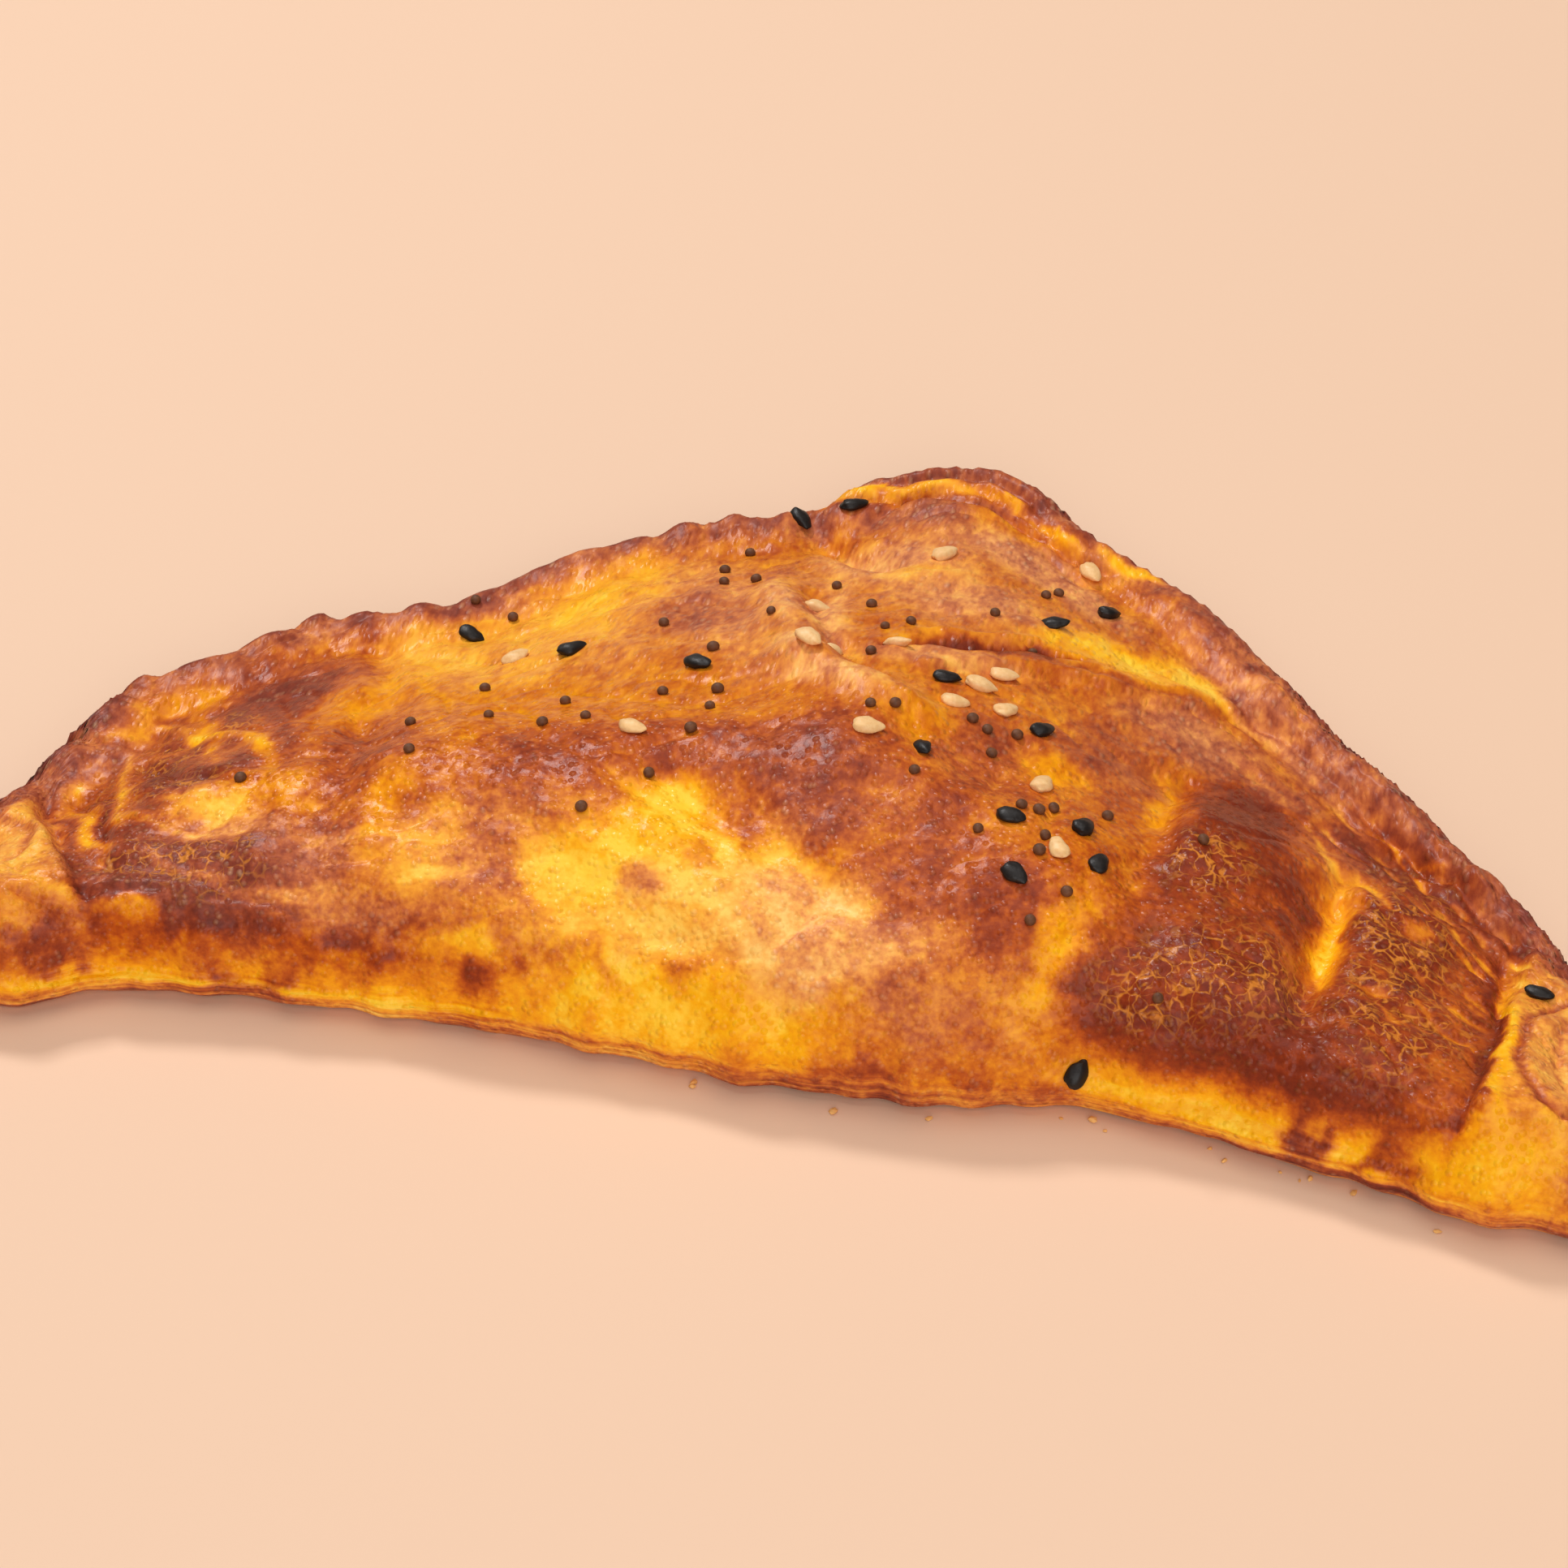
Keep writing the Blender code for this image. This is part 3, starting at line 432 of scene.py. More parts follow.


# How brown and how dull the egg-washed dough is, stroke over stroke. A stroke holds the place of
# its middle, its half length and half width, its turn in degrees, its browning from 0, pale yellow,
# to 1, nearly black, and its dullness from 0, clear gold, to 1, matt and floury, with a pinkish
# tone that is partly a painted sheen.
PLAIN = (0.48, 0.1)
STROKES = [
    # the left end, from the rim down
    (-52, -22, 13, 20, 0, 0.72, 0.25), (-60, -30, 4, 10, 30, 0.6, 0.1),
    (-50, -10, 8, 9, 0, 0.74, 0.3), (-59, -8, 4.5, 3, 0, 0.35, 0.0),
    (-65, -12, 3, 4.5, 0, 0.3, 0.1), (-64, -18, 3.5, 3, 0, 0.64, 0.5),
    (-67, -22, 2.5, 3, 0, 0.18, 0.1), (-71, -22, 3, 6, 0, 0.2, 0.8),
    (-55, -16, 8, 1.3, -60, 0.45, 0.0), (-47, -22, 8, 1.6, -62, 0.42, 0.0),
    (-52, -27, 5.5, 3, -30, 0.78, 0.4), (-46, -28.5, 4, 3, 0, 0.44, 0.0),
    (-49, -31, 5, 2.2, -10, 0.24, 0.2), (-42, -29, 2.2, 4, 0, 0.35, 0.0),
    (-47, -34.5, 7, 2.2, 0, 0.5, 0.7), (-53, -38.5, 7, 4.5, 0, 0.86, 0.6),
    (-45, -38.5, 8, 3, 0, 0.82, 0.6), (-42, -14, 4, 8, 0, 0.42, 0.0), (-38, -4, 5, 9, 0, 0.3, 0.05),
    (-40, 4, 7, 5, 0, 0.22, 0.25), (-46, 3, 8, 2.4, -65, 0.55, 0.1),
    (-38, -22, 7, 3.5, -60, 0.64, 0.15), (-37, -36, 5, 4, 0, 0.62, 0.6),
    (-53, -43.3, 9, 1.1, 0, 0.3, 0.0), (-40, -42.6, 14, 0.7, 0, 0.32, 0.0),
    # the plateau behind, and the orange slope in front of it
    (-27, 7, 13, 14, 0, 0.27, 0.2), (-27, 12, 3.2, 6, 0, 0.14, 0.0), (-22, 20, 5, 5, 0, 0.22, 0.1),
    (-13, 10, 18, 4.5, -68, 0.42, 0.6), (-24, -12, 15, 7, 0, 0.44, 0.0),
    (-30, -5, 5, 4, 0, 0.3, 0.2), (-19, -3, 6, 4, -40, 0.42, 0.3), (-13, -8, 7, 5, -30, 0.46, 0.05),
    (-20, -24, 14, 4.5, 0, 0.62, 0.15), (-12, -21, 7, 3.6, -10, 0.62, 0.1),
    (-35, -25, 3, 8, 20, 0.6, 0.2), (-28, -22, 2.5, 5, 10, 0.44, 0.0),
    (-5, 28, 8, 3, -65, 0.36, 0.2), (-11, 33, 2.5, 2, 0, 0.62, 0.7), (-3, 7, 1.4, 3, 0, 0.62, 0.3),
    (-1.5, 8, 9, 1.6, -80, 0.3, 0.9), (-15.5, 7.5, 5, 5, 0, 0.6, 0.5),
    (-5.3, 31, 3, 2, 0, 0.5, 0.1),
    # the lower face, pale where the dough was stretched
    (-24, -34, 8, 5, 0, 0.5, 0.45), (-33, -31, 2, 6, 0, 0.33, 0.0),
    (-28, -34.5, 3, 4.5, 0, 0.27, 0.25), (-22, -31.5, 4, 4, 0, 0.58, 0.4),
    (-12, -34, 9, 3.4, 0, 0.16, 0.05), (-8.5, -28, 6, 3.4, 50, 0.12, 0.0),
    (-4, -36, 6, 3, 0, 0.16, 0.3), (-8.8, -35.2, 2.2, 1.6, 0, 0.42, 0.6),
    # The first stroke on the next line is a painted highlight along the edge of a diagonal fold
    (-1.7, -31, 5, 0.9, -33, 0.02, 0.1), (-8.7, -40.6, 6, 1.3, -28, 0.1, 0.0),
    (-8, -38.5, 10, 1.8, 0, 0.2, 0.25), (-34, -39.8, 9, 1.8, 0, 0.54, 0.5),
    (-27, -41.2, 10, 1.0, 0, 0.58, 0.2), (2, -32.5, 4, 4, 30, 0.2, 0.15),
    (6, -35, 7, 3.4, 0, 0.28, 0.75), (8, -38.5, 10, 2.6, 0, 0.3, 0.7),
    (15, -36.5, 6, 3, 0, 0.42, 0.6), (21, -38.5, 5, 3, 0, 0.42, 0.2),
    (8.5, -40.3, 3, 1.4, 10, 0.3, 0.8), (12.5, -37, 3.5, 1.5, -30, 0.36, 0.8),
    (1, -25.5, 6, 4, -15, 0.64, 0.1), (3.5, -27.5, 3, 2, 0, 0.48, 0.6),
    (15.5, -41.5, 3.5, 1.4, 0, 0.52, 0.4), (5, -42.5, 6, 1.6, 0, 0.26, 0.0),
    (17, -33.5, 3, 1.2, -40, 0.3, 0.3), (-8, -43, 10, 1.4, 0, 0.12, 0.0),
    (-22, -41.6, 9, 1.0, 2, 0.2, 0.05),
    # the swell of the middle
    (1, -19, 9, 6, -10, 0.66, 0.25), (5, -24.5, 8, 4, 0, 0.68, 0.3), (-3, -13, 5, 4, 0, 0.46, 0.05),
    (17, -15, 4.5, 8, 0, 0.6, 0.25), (14.5, -24.5, 3, 3.5, 0, 0.68, 0.2),
    (11, -13, 2, 4, 0, 0.42, 0.0), (10.5, -25, 3, 3, 0, 0.5, 0.2), (15, -31, 5, 5, 0, 0.62, 0.2),
    (21.5, -33, 4.5, 5, 0, 0.68, 0.15), (27, -8, 4.5, 9, 0, 0.6, 0.3),
    (23.5, -14, 3, 3, 0, 0.36, 0.0), (29, -27, 3.5, 6, 0, 0.52, 0.05),
    (27, -35, 5, 1.6, 72, 0.34, 0.0), (31.5, -36, 2.5, 3, 0, 0.6, 0.2),
    (33.5, -13, 1.9, 8, 0, 0.33, 0.0),
    # the back: the cap, the tan leaf, the yellow band where it is torn, and a painted shadow under
    # its edge
    (1, 24, 8, 7, 0, 0.4, 0.9), (5, 20.4, 5, 2.4, -10, 0.2, 0.15), (10, 16, 8, 6, 0, 0.44, 0.8),
    (-6.5, 9, 8, 1.8, -72, 0.3, 0.85), (-2.5, -3, 4, 1.6, -55, 0.3, 0.9),
    (2, -8.2, 6, 1.9, -20, 0.3, 0.9), (10, 1, 8, 2.4, 12, 0.42, 0.7), (1, 35.5, 6, 3, 0, 0.6, 0.7),
    (12, 30, 8, 4, -20, 0.42, 0.95), (19, 25, 8, 3, -35, 0.44, 0.9),
    (12, 36, 4, 2.2, -20, 0.38, 0.1), (20, 34, 4.5, 2.2, -45, 0.3, 0.1),
    (24, 13, 7, 4, 8, 0.13, 0.0), (32, 13.5, 6, 4, 10, 0.17, 0.1), (27, 9.5, 8, 1.2, 8, 0.32, 0.0),
    # The first stroke on the next line, at 14.5, 6.6, is a painted shadow under the top leaf's edge
    (14.5, 6.6, 4.5, 1.6, 20, 0.74, 0.1), (35, 16, 2, 1.5, 0, 0.4, 0.1),
    # the right end
    (34, 3, 7, 5, -20, 0.54, 0.8), (40, -11, 5.5, 11, 0, 0.82, 0.0),
    (38, -23, 5.5, 7, 0, 0.76, 0.1), (44.5, -22, 2.8, 9, 0, 0.74, 0.1),
    (40, -34, 8, 5, 0, 0.84, 0.1), (38, -37.2, 9, 2.0, -3, 0.82, 0.1),
    (52, -40.2, 8, 2.2, -12, 0.78, 0.1), (46, -35.5, 2, 4, 0, 0.9, 0.7),
    (46, -13, 2.4, 5, 0, 0.56, 0.2), (52, -8, 5, 6, 0, 0.7, 0.5), (55, -24, 5.5, 9, 0, 0.82, 0.12),
    (54, -36, 7, 6, 0, 0.76, 0.12), (48.8, -25, 1.2, 6, 0, 0.24, 0.0),
    (49, -17.5, 1.8, 3.5, 10, 0.4, 0.1), (62, -28, 2, 12, 0, 0.66, 0.1),
    (60, -42, 3.5, 2.5, 0, 0.6, 0.1), (34, -37.6, 4.5, 2.2, 0, 0.74, 0.1),
    (40, -38.2, 7, 2.4, -2, 0.82, 0.1), (47, -39.8, 6, 2.4, -8, 0.8, 0.1),
    (54, -41.2, 5, 2.2, -14, 0.74, 0.15), (44, 6, 26, 2.6, -50, 0.52, 0.75),
    (55, -9, 11, 4.5, -50, 0.76, 0.25), (42, -2, 5, 3, -50, 0.6, 0.5),
    (57, -9, 12, 1.0, -47, 0.36, 0.0), (59, -11.5, 11, 0.7, -47, 0.85, 0.1),
    # the folded corners
    (-67, -34, 6, 12, 30, 0.22, 0.35), (-62, -33, 10, 0.8, -58, 0.66, 0.2),
    (-60.4, -32, 8, 0.8, -58, 0.24, 0.0), (-58.6, -31.5, 9, 0.7, -58, 0.76, 0.2),
    (69, -33, 5, 14, 0, 0.33, 0.4), (64.4, -33, 0.9, 12, 0, 0.16, 0.0),
    (63.2, -31, 0.6, 12, 0, 0.8, 0.1), (66, -45, 6, 2, 0, 0.24, 0.0), (71, -34, 3, 8, 0, 0.3, 0.6),
    (-68, -36, 4, 5, 0, 0.26, 0.5),
    # the front edge: the bright under layer at the right
    (63, -46.5, 6, 1.2, -8, 0.2, 0.0),
]
# Strokes over the rim and the front edge. The folded back corner has brown leaves on top and
# golden ones between them, and the front edge has burnt spots.
EDGE_STROKES = [
    (3, 44.2, 9, 2.6, 0, 0.72, 0.6), (-4.5, 40.1, 4.5, 1.0, 22, 0.1, 0.0),
    (2, 40.8, 5, 0.7, 4, 0.2, 0.1), (10.5, 40.0, 3.6, 0.9, -25, 0.2, 0.0),
    (0, 38.4, 6, 0.6, 4, 0.68, 0.4), (12.6, 39.0, 3.2, 0.8, -38, 0.78, 0.3),
    (8.5, 38.6, 3.4, 0.6, -10, 0.66, 0.4), (14.8, 36.6, 3.6, 0.8, -45, 0.18, 0.0),
    (17.4, 35.8, 4, 0.6, -45, 0.62, 0.3), (23, 33.2, 3.6, 1.2, -32, 0.14, 0.0),
    (-8.5, 38.2, 2.4, 1.6, 60, 0.3, 0.1), (49.6, -43.4, 1.7, 1.3, -10, 0.95, 0.3),
    (56, -45.4, 4, 0.7, -14, 0.62, 0.1), (-60, -45.6, 5, 0.8, 30, 0.7, 0.2),
    (-43, -43.2, 5, 0.9, 2, 0.6, 0.15), (0, -43.6, 4.5, 1.3, 2, 0.14, 0.0),
    (14, -44.5, 9, 0.7, 2, 0.64, 0.2), (24, -43, 5, 0.6, 20, 0.66, 0.2),
]
# Wanderings of a stroke's edge: the size of the noise, how far it moves the edge, and its seed
WANDERINGS = [(4.0, 1.5, 21.3), (1.4, 0.6, 27.7)]
# What a millimetre of height adds, because the puffs and ridges bake darker than the hollows
RELIEF_BROWNING = 0.2
# The strokes are spread about this middle by this much
MIDDLE_BROWNING = 0.42
CONTRAST = 1.15
DARKEST_BROWNING = 0.84
# The hollows of the wrinkles are paler where their waves go below these heights
HOLLOWS = (0.08, 0.4)
# The rim: dull and brown, browner on the right leg and on the crimps, and darkest along its edge
RIM_FADE = (2.0, 6.0)
RIM_WANDER = 2.0
RIM_BROWNING = 0.63
RIM_UNEVENNESS = 0.2
RIGHT_RIM_BROWNING = 0.07
RIM_DULLNESS = 0.65
CRIMP_BROWNING = 0.19
RIM_EDGE_FADE = (0.4, 1.6)
RIM_EDGE_WANDER = 0.8
RIM_EDGE_BROWNING = 0.28
# The under layer at the front, left and right, and the dark line where the top crust ends
LEDGE_BROWNINGS = (0.22, 0.12)
LEDGE_UNEVEN_BROWNING = 0.12
LEDGE_LINE = 0.9
LEDGE_LINE_BROWNING = 0.18
# The foot of the crust, where its leaves show, and the underside
BASE_FADE = (2.0, 5.0)
BASE_WANDER = 1.5
BASE_REACH = 6.0
BASE_BROWNING = 0.16
BOTTOM_BROWNING = 0.5
BOTTOM_DULLNESS = 0.5
BASE_UNEVENNESS = 0.25
# Patches where the dark glaze has split: x, y, half length, half width, turn
CRACKLED = [
    (43, -33, 7, 5, 0), (36, -36, 5, 3, 0), (55, -24, 5, 14, 0), (57, -35, 5, 6, 0),
    (38, -22, 4, 4, 0), (-55, -17, 7, 5, -30), (-60, -24, 3, 6, 0), (-50, -37, 8, 3, 0),
    (-53, -28, 5, 3, 0),
]


def painted(x, y, strokes, start):
    """The browning and the dullness of each place, in strokes with soft and wandering edges that
    are laid over a start."""
    moved_x = x + sum(by * noise_at(x, y, size, seed) for size, by, seed in WANDERINGS)
    moved_y = y + sum(by * noise_at(x, y, size, seed + 50) for size, by, seed in WANDERINGS)
    finish = np.zeros((len(x), 2)) + start
    for sx, sy, half_length, half_width, turn, *amounts in strokes:
        c, s = math.cos(math.radians(turn)), math.sin(math.radians(turn))
        along = ((moved_x - sx) * c + (moved_y - sy) * s) / half_length
        across = ((moved_y - sy) * c - (moved_x - sx) * s) / half_width
        cover = np.exp(-((along ** 2 + across ** 2) ** 1.7))[:, None]
        finish += cover * (np.array(amounts) - finish)
    return finish.T


crust_bm = bmesh.new()
bmesh.ops.create_uvsphere(crust_bm, u_segments=AROUND, v_segments=ALONG, radius=1)
unit = np.array([v.co for v in crust_bm.verts])
polar = np.arccos(np.clip(unit[:, 2], -1, 1)) / math.pi
x = LENGTH * ((1 - CROWDING) * polar + CROWDING * (1 - np.cos(math.pi * polar)) / 2) - HALF
turn = np.round(np.mod(np.arctan2(unit[:, 1], unit[:, 0]) / (2 * math.pi), 1), 6) % 1
on_top = turn <= TOP_SHARE
across = np.where(on_top, turn / TOP_SHARE, (1 - turn) / (1 - TOP_SHARE))
across = (1 - CROWDING) * across + CROWDING * (1 - np.cos(math.pi * across)) / 2
pole = np.hypot(unit[:, 0], unit[:, 1]) < 1e-4
across[pole] = 0.5
front = np.interp(x, *FRONT.T)
back = np.interp(x, *BACK.T)
y = front + across * (back - front)
z, rounding, from_front, from_back = lid_height(x, y)
covers = line_covers(x, y)
waves = wrinkle_waves(x, y)
relief = skin(x, y, waves)
z += relief + sum(height * cover for (_, _, height, _), cover in zip(LINES, covers))
y += EDGE_RAGGEDNESS * noise_at(x, y, 3.2, 61.0) * np.exp(-((from_front / EDGE_RAGGED_REACH) ** 2))
roll = FRONT_ROLL_HEIGHT + across * (BACK_ROLL_HEIGHT - FRONT_ROLL_HEIGHT)
under = np.where(
    from_front / FRONT_ROLL_DEPTH < from_back / BACK_ROLL_DEPTH,
    quarter_round(from_front, FRONT_ROLL_DEPTH),
    quarter_round(from_back, BACK_ROLL_DEPTH),
)
level = np.where(on_top, roll + (z - roll) * rounding, roll * under)
level[pole] = roll[pole]
for vertex, place in zip(crust_bm.verts, np.column_stack([x, y - MIDDLE_Y, level]) * MM):
    vertex.co = place
bmesh.ops.recalc_face_normals(crust_bm, faces=crust_bm.faces)
if crust_bm.calc_volume(signed=True) < 0:
    bmesh.ops.reverse_faces(crust_bm, faces=crust_bm.faces)
crust_mesh = bpy.data.meshes.new("crust")
crust_bm.to_mesh(crust_mesh)
crust_bm.free()
crust_mesh.shade_smooth()

browning, dullness_and_sheen = painted(x, y, STROKES, PLAIN)
browning = MIDDLE_BROWNING + CONTRAST * (browning - MIDDLE_BROWNING) + RELIEF_BROWNING * relief
# Painted shade where a crease's tone darkens it, and paler dough where a line's tone lightens it
browning += sum(tone * cover for (*_, tone), cover in zip(LINES, covers))
browning -= sum(paler * smoothstep(*HOLLOWS, -wave) for (*_, paler), wave in zip(WRINKLES, waves))
_, travel = nearest(BACK, x, y)
on_rim = 1 - smoothstep(*RIM_FADE, from_back + RIM_WANDER * noise_at(x, y, 3.0, 5.5))
rim_tone = RIM_BROWNING + CRIMP_BROWNING * crimp_wave(travel)
rim_tone += RIM_UNEVENNESS * noise_at(x, y, 3.5, 2.2)
rim_tone += RIGHT_RIM_BROWNING * smoothstep(APEX_X, APEX_X + 10, x)
outer = 1 - smoothstep(*RIM_EDGE_FADE, from_back + RIM_EDGE_WANDER * noise_at(x, y, 2.0, 14.2))
browning += on_rim * (rim_tone + RIM_EDGE_BROWNING * outer - browning)
dullness_and_sheen += on_rim * (RIM_DULLNESS - dullness_and_sheen)
for cut in ledge_covers(x, from_front - LEDGE_LINE):
    browning += LEDGE_LINE_BROWNING * cut
for cut, tone in zip(ledge_covers(x, from_front), LEDGE_BROWNINGS):
    browning += cut * (tone + LEDGE_UNEVEN_BROWNING * noise_at(x, y, 4.0, 4.4) - browning)
    dullness_and_sheen -= cut * dullness_and_sheen
low = 1 - smoothstep(*BASE_FADE, level + BASE_WANDER * noise_at(x, y, 4.0, 9.1))
at_front = low * (from_front < BASE_REACH)
foot_tone = BASE_BROWNING + BASE_UNEVENNESS * noise_at(x, y, 6.0, 4.4)
browning += at_front * (foot_tone - browning)
dullness_and_sheen -= at_front * dullness_and_sheen
browning, dullness_and_sheen = painted(x, y, EDGE_STROKES, np.column_stack([browning, dullness_and_sheen]))
browning = np.minimum(browning, DARKEST_BROWNING)
bottom_tone = BOTTOM_BROWNING + BASE_UNEVENNESS * noise_at(x, y, 7.0, 6.3)
browning = np.where(on_top, browning, bottom_tone)
dullness_and_sheen = np.where(on_top, dullness_and_sheen, BOTTOM_DULLNESS)
crackled, _ = painted(x, y, [(*patch, 1, 1) for patch in CRACKLED], (0, 0))
layered = low * (np.minimum(from_front, from_back) < BASE_REACH)
paint = {"browning": browning, "dullness_and_sheen": dullness_and_sheen, "crackled": crackled, "layered": layered}
for name, values in paint.items():
    layer = crust_mesh.attributes.new(name, "FLOAT", "POINT")
    layer.data.foreach_set("value", values.astype(np.float32))

# The dough was drawn out towards the back corner, and its grain with it: how fast the grain's own
# coordinates run along y and z there, next to 1 at the front, and the y between which it changes
DRAWN_RATE = 0.5
DRAWN_DEPTH_RATE = 0.65
DRAWN_FROM = (-28, -8)
depths = np.linspace(-60, 60, 241)
rates = 1 - (1 - DRAWN_RATE) * smoothstep(*DRAWN_FROM, depths)
drawn_y = np.interp(y, depths, np.cumsum(rates) * (depths[1] - depths[0]))
drawn_z = level * (1 - (1 - DRAWN_DEPTH_RATE) * smoothstep(*DRAWN_FROM, y))
layer = crust_mesh.attributes.new("drawn", "FLOAT_VECTOR", "POINT")
drawn_places = np.column_stack([x, drawn_y, drawn_z]) * MM
layer.data.foreach_set("vector", drawn_places.astype(np.float32).ravel())


def linear(code):
    """An sRGB hex colour as linear red, green, blue and alpha."""
    channels = [int(code[i : i + 2], 16) / 255 for i in (0, 2, 4)]
    return [c / 12.92 if c <= 0.04045 else ((c + 0.055) / 1.055) ** 2.4 for c in channels] + [1]


def add(tree, kind, inputs=(), **settings):
    """Adds a node with its settings. inputs pairs a socket with its value or with what feeds it."""
    made = tree.nodes.new(kind)
    for name, value in settings.items():
        setattr(made, name, value)
    for socket, value in dict(inputs).items():
        if isinstance(value, bpy.types.NodeSocket):
            tree.links.new(value, made.inputs[socket])
        else:
            made.inputs[socket].default_value = value
    return made


# Baked laminated dough under egg wash. The wash gives gold where thin and red-brown where thick,
# with a soft gloss. Pinkish-white highlights are painted on the tops of its tiny blisters, and
# the darkest parts crackle.
GLAZED_STOPS = [
    (0.0, "FFC834"), (0.15, "FAAF0A"), (0.3, "EF9606"), (0.45, "D57307"), (0.58, "B85008"),
    (0.7, "98380A"), (0.82, "7E2A0C"), (1.0, "661E0C"),
]
# The dull ramp is the matt tan of dough with little wash, tinted pink by a painted sheen.
DULL_AND_SHEEN_STOPS = [
    (0.0, "FFCA80"), (0.2, "F4AF62"), (0.35, "E39257"), (0.5, "C8764C"), (0.62, "B26444"),
    (0.75, "984C38"), (0.88, "803E30"), (1.0, "6A3226"),
]
# The colour of the painted highlights on the blister tops
PAINTED_GLINT_COLOUR = "F8C090"
CRACKLE_GOLD = "EE9230"
# The skin's patterns: size in mm and detail
PATTERNS = {"mottle": (2.6, 5), "grain": (0.55, 3), "freckle": (1.0, 2), "puff": (1.7, 1)}
BLISTER_SIZE = 0.75
# How much the patterns move the browning, and how much stronger that is from glazed to dull dough
UNEVENNESS = {"mottle": 0.5, "grain": 0.38, "freckle": 0.42}
SPECKLING = (0.75, 1.4)
# How much of the blister tops gets the painted highlight, from glazed to dull dough
PAINTED_GLINT_SHARES = (0.04, 0.6)
# Leaves of the laminated dough, which show as thin level stripes at the foot
LEAF_LENGTH = 16.0
LEAF_THICKNESS = 0.7
LEAF_BROWNING = 1.4
# Crackle: the size of a cell, how far its lines are bent over what size, and the threads in them
CRACK_CELL = 1.25
BEND = 1.6
BEND_SIZE = 2.4
WISP_SIZE = 2.6
# The bump, in shares of its depth in mm
BUMP_DEPTH = 0.13
SPLIT_DEPTH = -0.5
GRAIN_HEIGHT = 0.45
PUFF_HEIGHT = 2.0
LEAF_HEIGHT = 4.0
# From the glazed dough to the dull
ROUGHNESS = (0.3, 0.46)

baked = bpy.data.materials.new("egg_washed_laminated_dough")
baked.use_nodes = True
tree = baked.node_tree
shader = tree.nodes["Principled BSDF"]
place = add(tree, "ShaderNodeTexCoord").outputs["Object"]
drawn = add(tree, "ShaderNodeAttribute", attribute_name="drawn").outputs["Vector"]
brown = add(tree, "ShaderNodeAttribute", attribute_name="browning").outputs["Fac"]
dull_and_sheen = add(tree, "ShaderNodeAttribute", attribute_name="dullness_and_sheen").outputs["Fac"]
patterns = {}
for name, (size, detail) in PATTERNS.items():
    patterns[name] = add(
        tree, "ShaderNodeTexNoise", {"Vector": drawn, "Scale": 1 / (size * MM), "Detail": detail}
    ).outputs["Fac"]
from_blister = add(
    tree, "ShaderNodeTexVoronoi", {"Vector": drawn, "Scale": 1 / (BLISTER_SIZE * MM)}
).outputs["Distance"]
blister = add(
    tree, "ShaderNodeMapRange", {"Value": from_blister, "From Min": 0.45, "From Max": 0.05}
).outputs["Result"]
patchy = -sum(UNEVENNESS.values()) / 2
for name, share in UNEVENNESS.items():
    patchy = add(
        tree, "ShaderNodeMath", {0: patterns[name], 1: share, 2: patchy}, operation="MULTIPLY_ADD"
    ).outputs[0]
# The speckle is faint in the glaze and stronger where the dough is dull
speckling = add(
    tree,
    "ShaderNodeMapRange",
    {"Value": dull_and_sheen, "To Min": SPECKLING[0], "To Max": SPECKLING[1]},
).outputs["Result"]
toned = add(
    tree, "ShaderNodeMath", {0: patchy, 1: speckling, 2: brown}, operation="MULTIPLY_ADD"
).outputs[0]
thin = add(
    tree,
    "ShaderNodeMapping",
    {
        "Vector": place,
        "Scale": (1 / (LEAF_LENGTH * MM), 1 / (LEAF_LENGTH * MM), 1 / (LEAF_THICKNESS * MM)),
    },
).outputs["Vector"]
leaves = add(tree, "ShaderNodeTexNoise", {"Vector": thin, "Scale": 1, "Detail": 2}).outputs["Fac"]
layered = add(tree, "ShaderNodeAttribute", attribute_name="layered").outputs["Fac"]
centred = add(tree, "ShaderNodeMath", {0: leaves, 1: 0.5}, operation="SUBTRACT").outputs[0]
edges = add(tree, "ShaderNodeMath", {0: centred, 1: layered}, operation="MULTIPLY").outputs[0]
toned = add(
    tree, "ShaderNodeMath", {0: edges, 1: LEAF_BROWNING, 2: toned}, operation="MULTIPLY_ADD"
).outputs[0]
ramps = []
for stops in (GLAZED_STOPS, DULL_AND_SHEEN_STOPS):
    ramp = add(tree, "ShaderNodeValToRGB", {"Fac": toned})
    while len(ramp.color_ramp.elements) < len(stops):
        ramp.color_ramp.elements.new(0.5)
    for element, (position, code) in zip(ramp.color_ramp.elements, stops):
        element.position = position
        element.color = linear(code)
    ramps.append(ramp.outputs["Color"])
# The dough's colour leans to the dull ramp where it is matt, partly a painted sheen.
body = add(tree, "ShaderNodeMix", {0: dull_and_sheen, 6: ramps[0], 7: ramps[1]}, data_type="RGBA").outputs[2]

# Painted highlights: pinkish-white glints on the tops of the blisters, where the dough is dull
pale = add(
    tree,
    "ShaderNodeMapRange",
    {"Value": dull_and_sheen, "To Min": PAINTED_GLINT_SHARES[0], "To Max": PAINTED_GLINT_SHARES[1]},
).outputs["Result"]
there = add(
    tree,
    "ShaderNodeMapRange",
    {"Value": patterns["mottle"], "From Min": 0.45, "From Max": 0.65},
).outputs["Result"]
pale = add(tree, "ShaderNodeMath", {0: pale, 1: there}, operation="MULTIPLY").outputs[0]
painted_glint = add(tree, "ShaderNodeMath", {0: blister, 1: pale}, operation="MULTIPLY").outputs[0]
with_painted_glints = add(
    tree, "ShaderNodeMix", {0: painted_glint, 6: body, 7: linear(PAINTED_GLINT_COLOUR)}, data_type="RGBA"
).outputs[2]

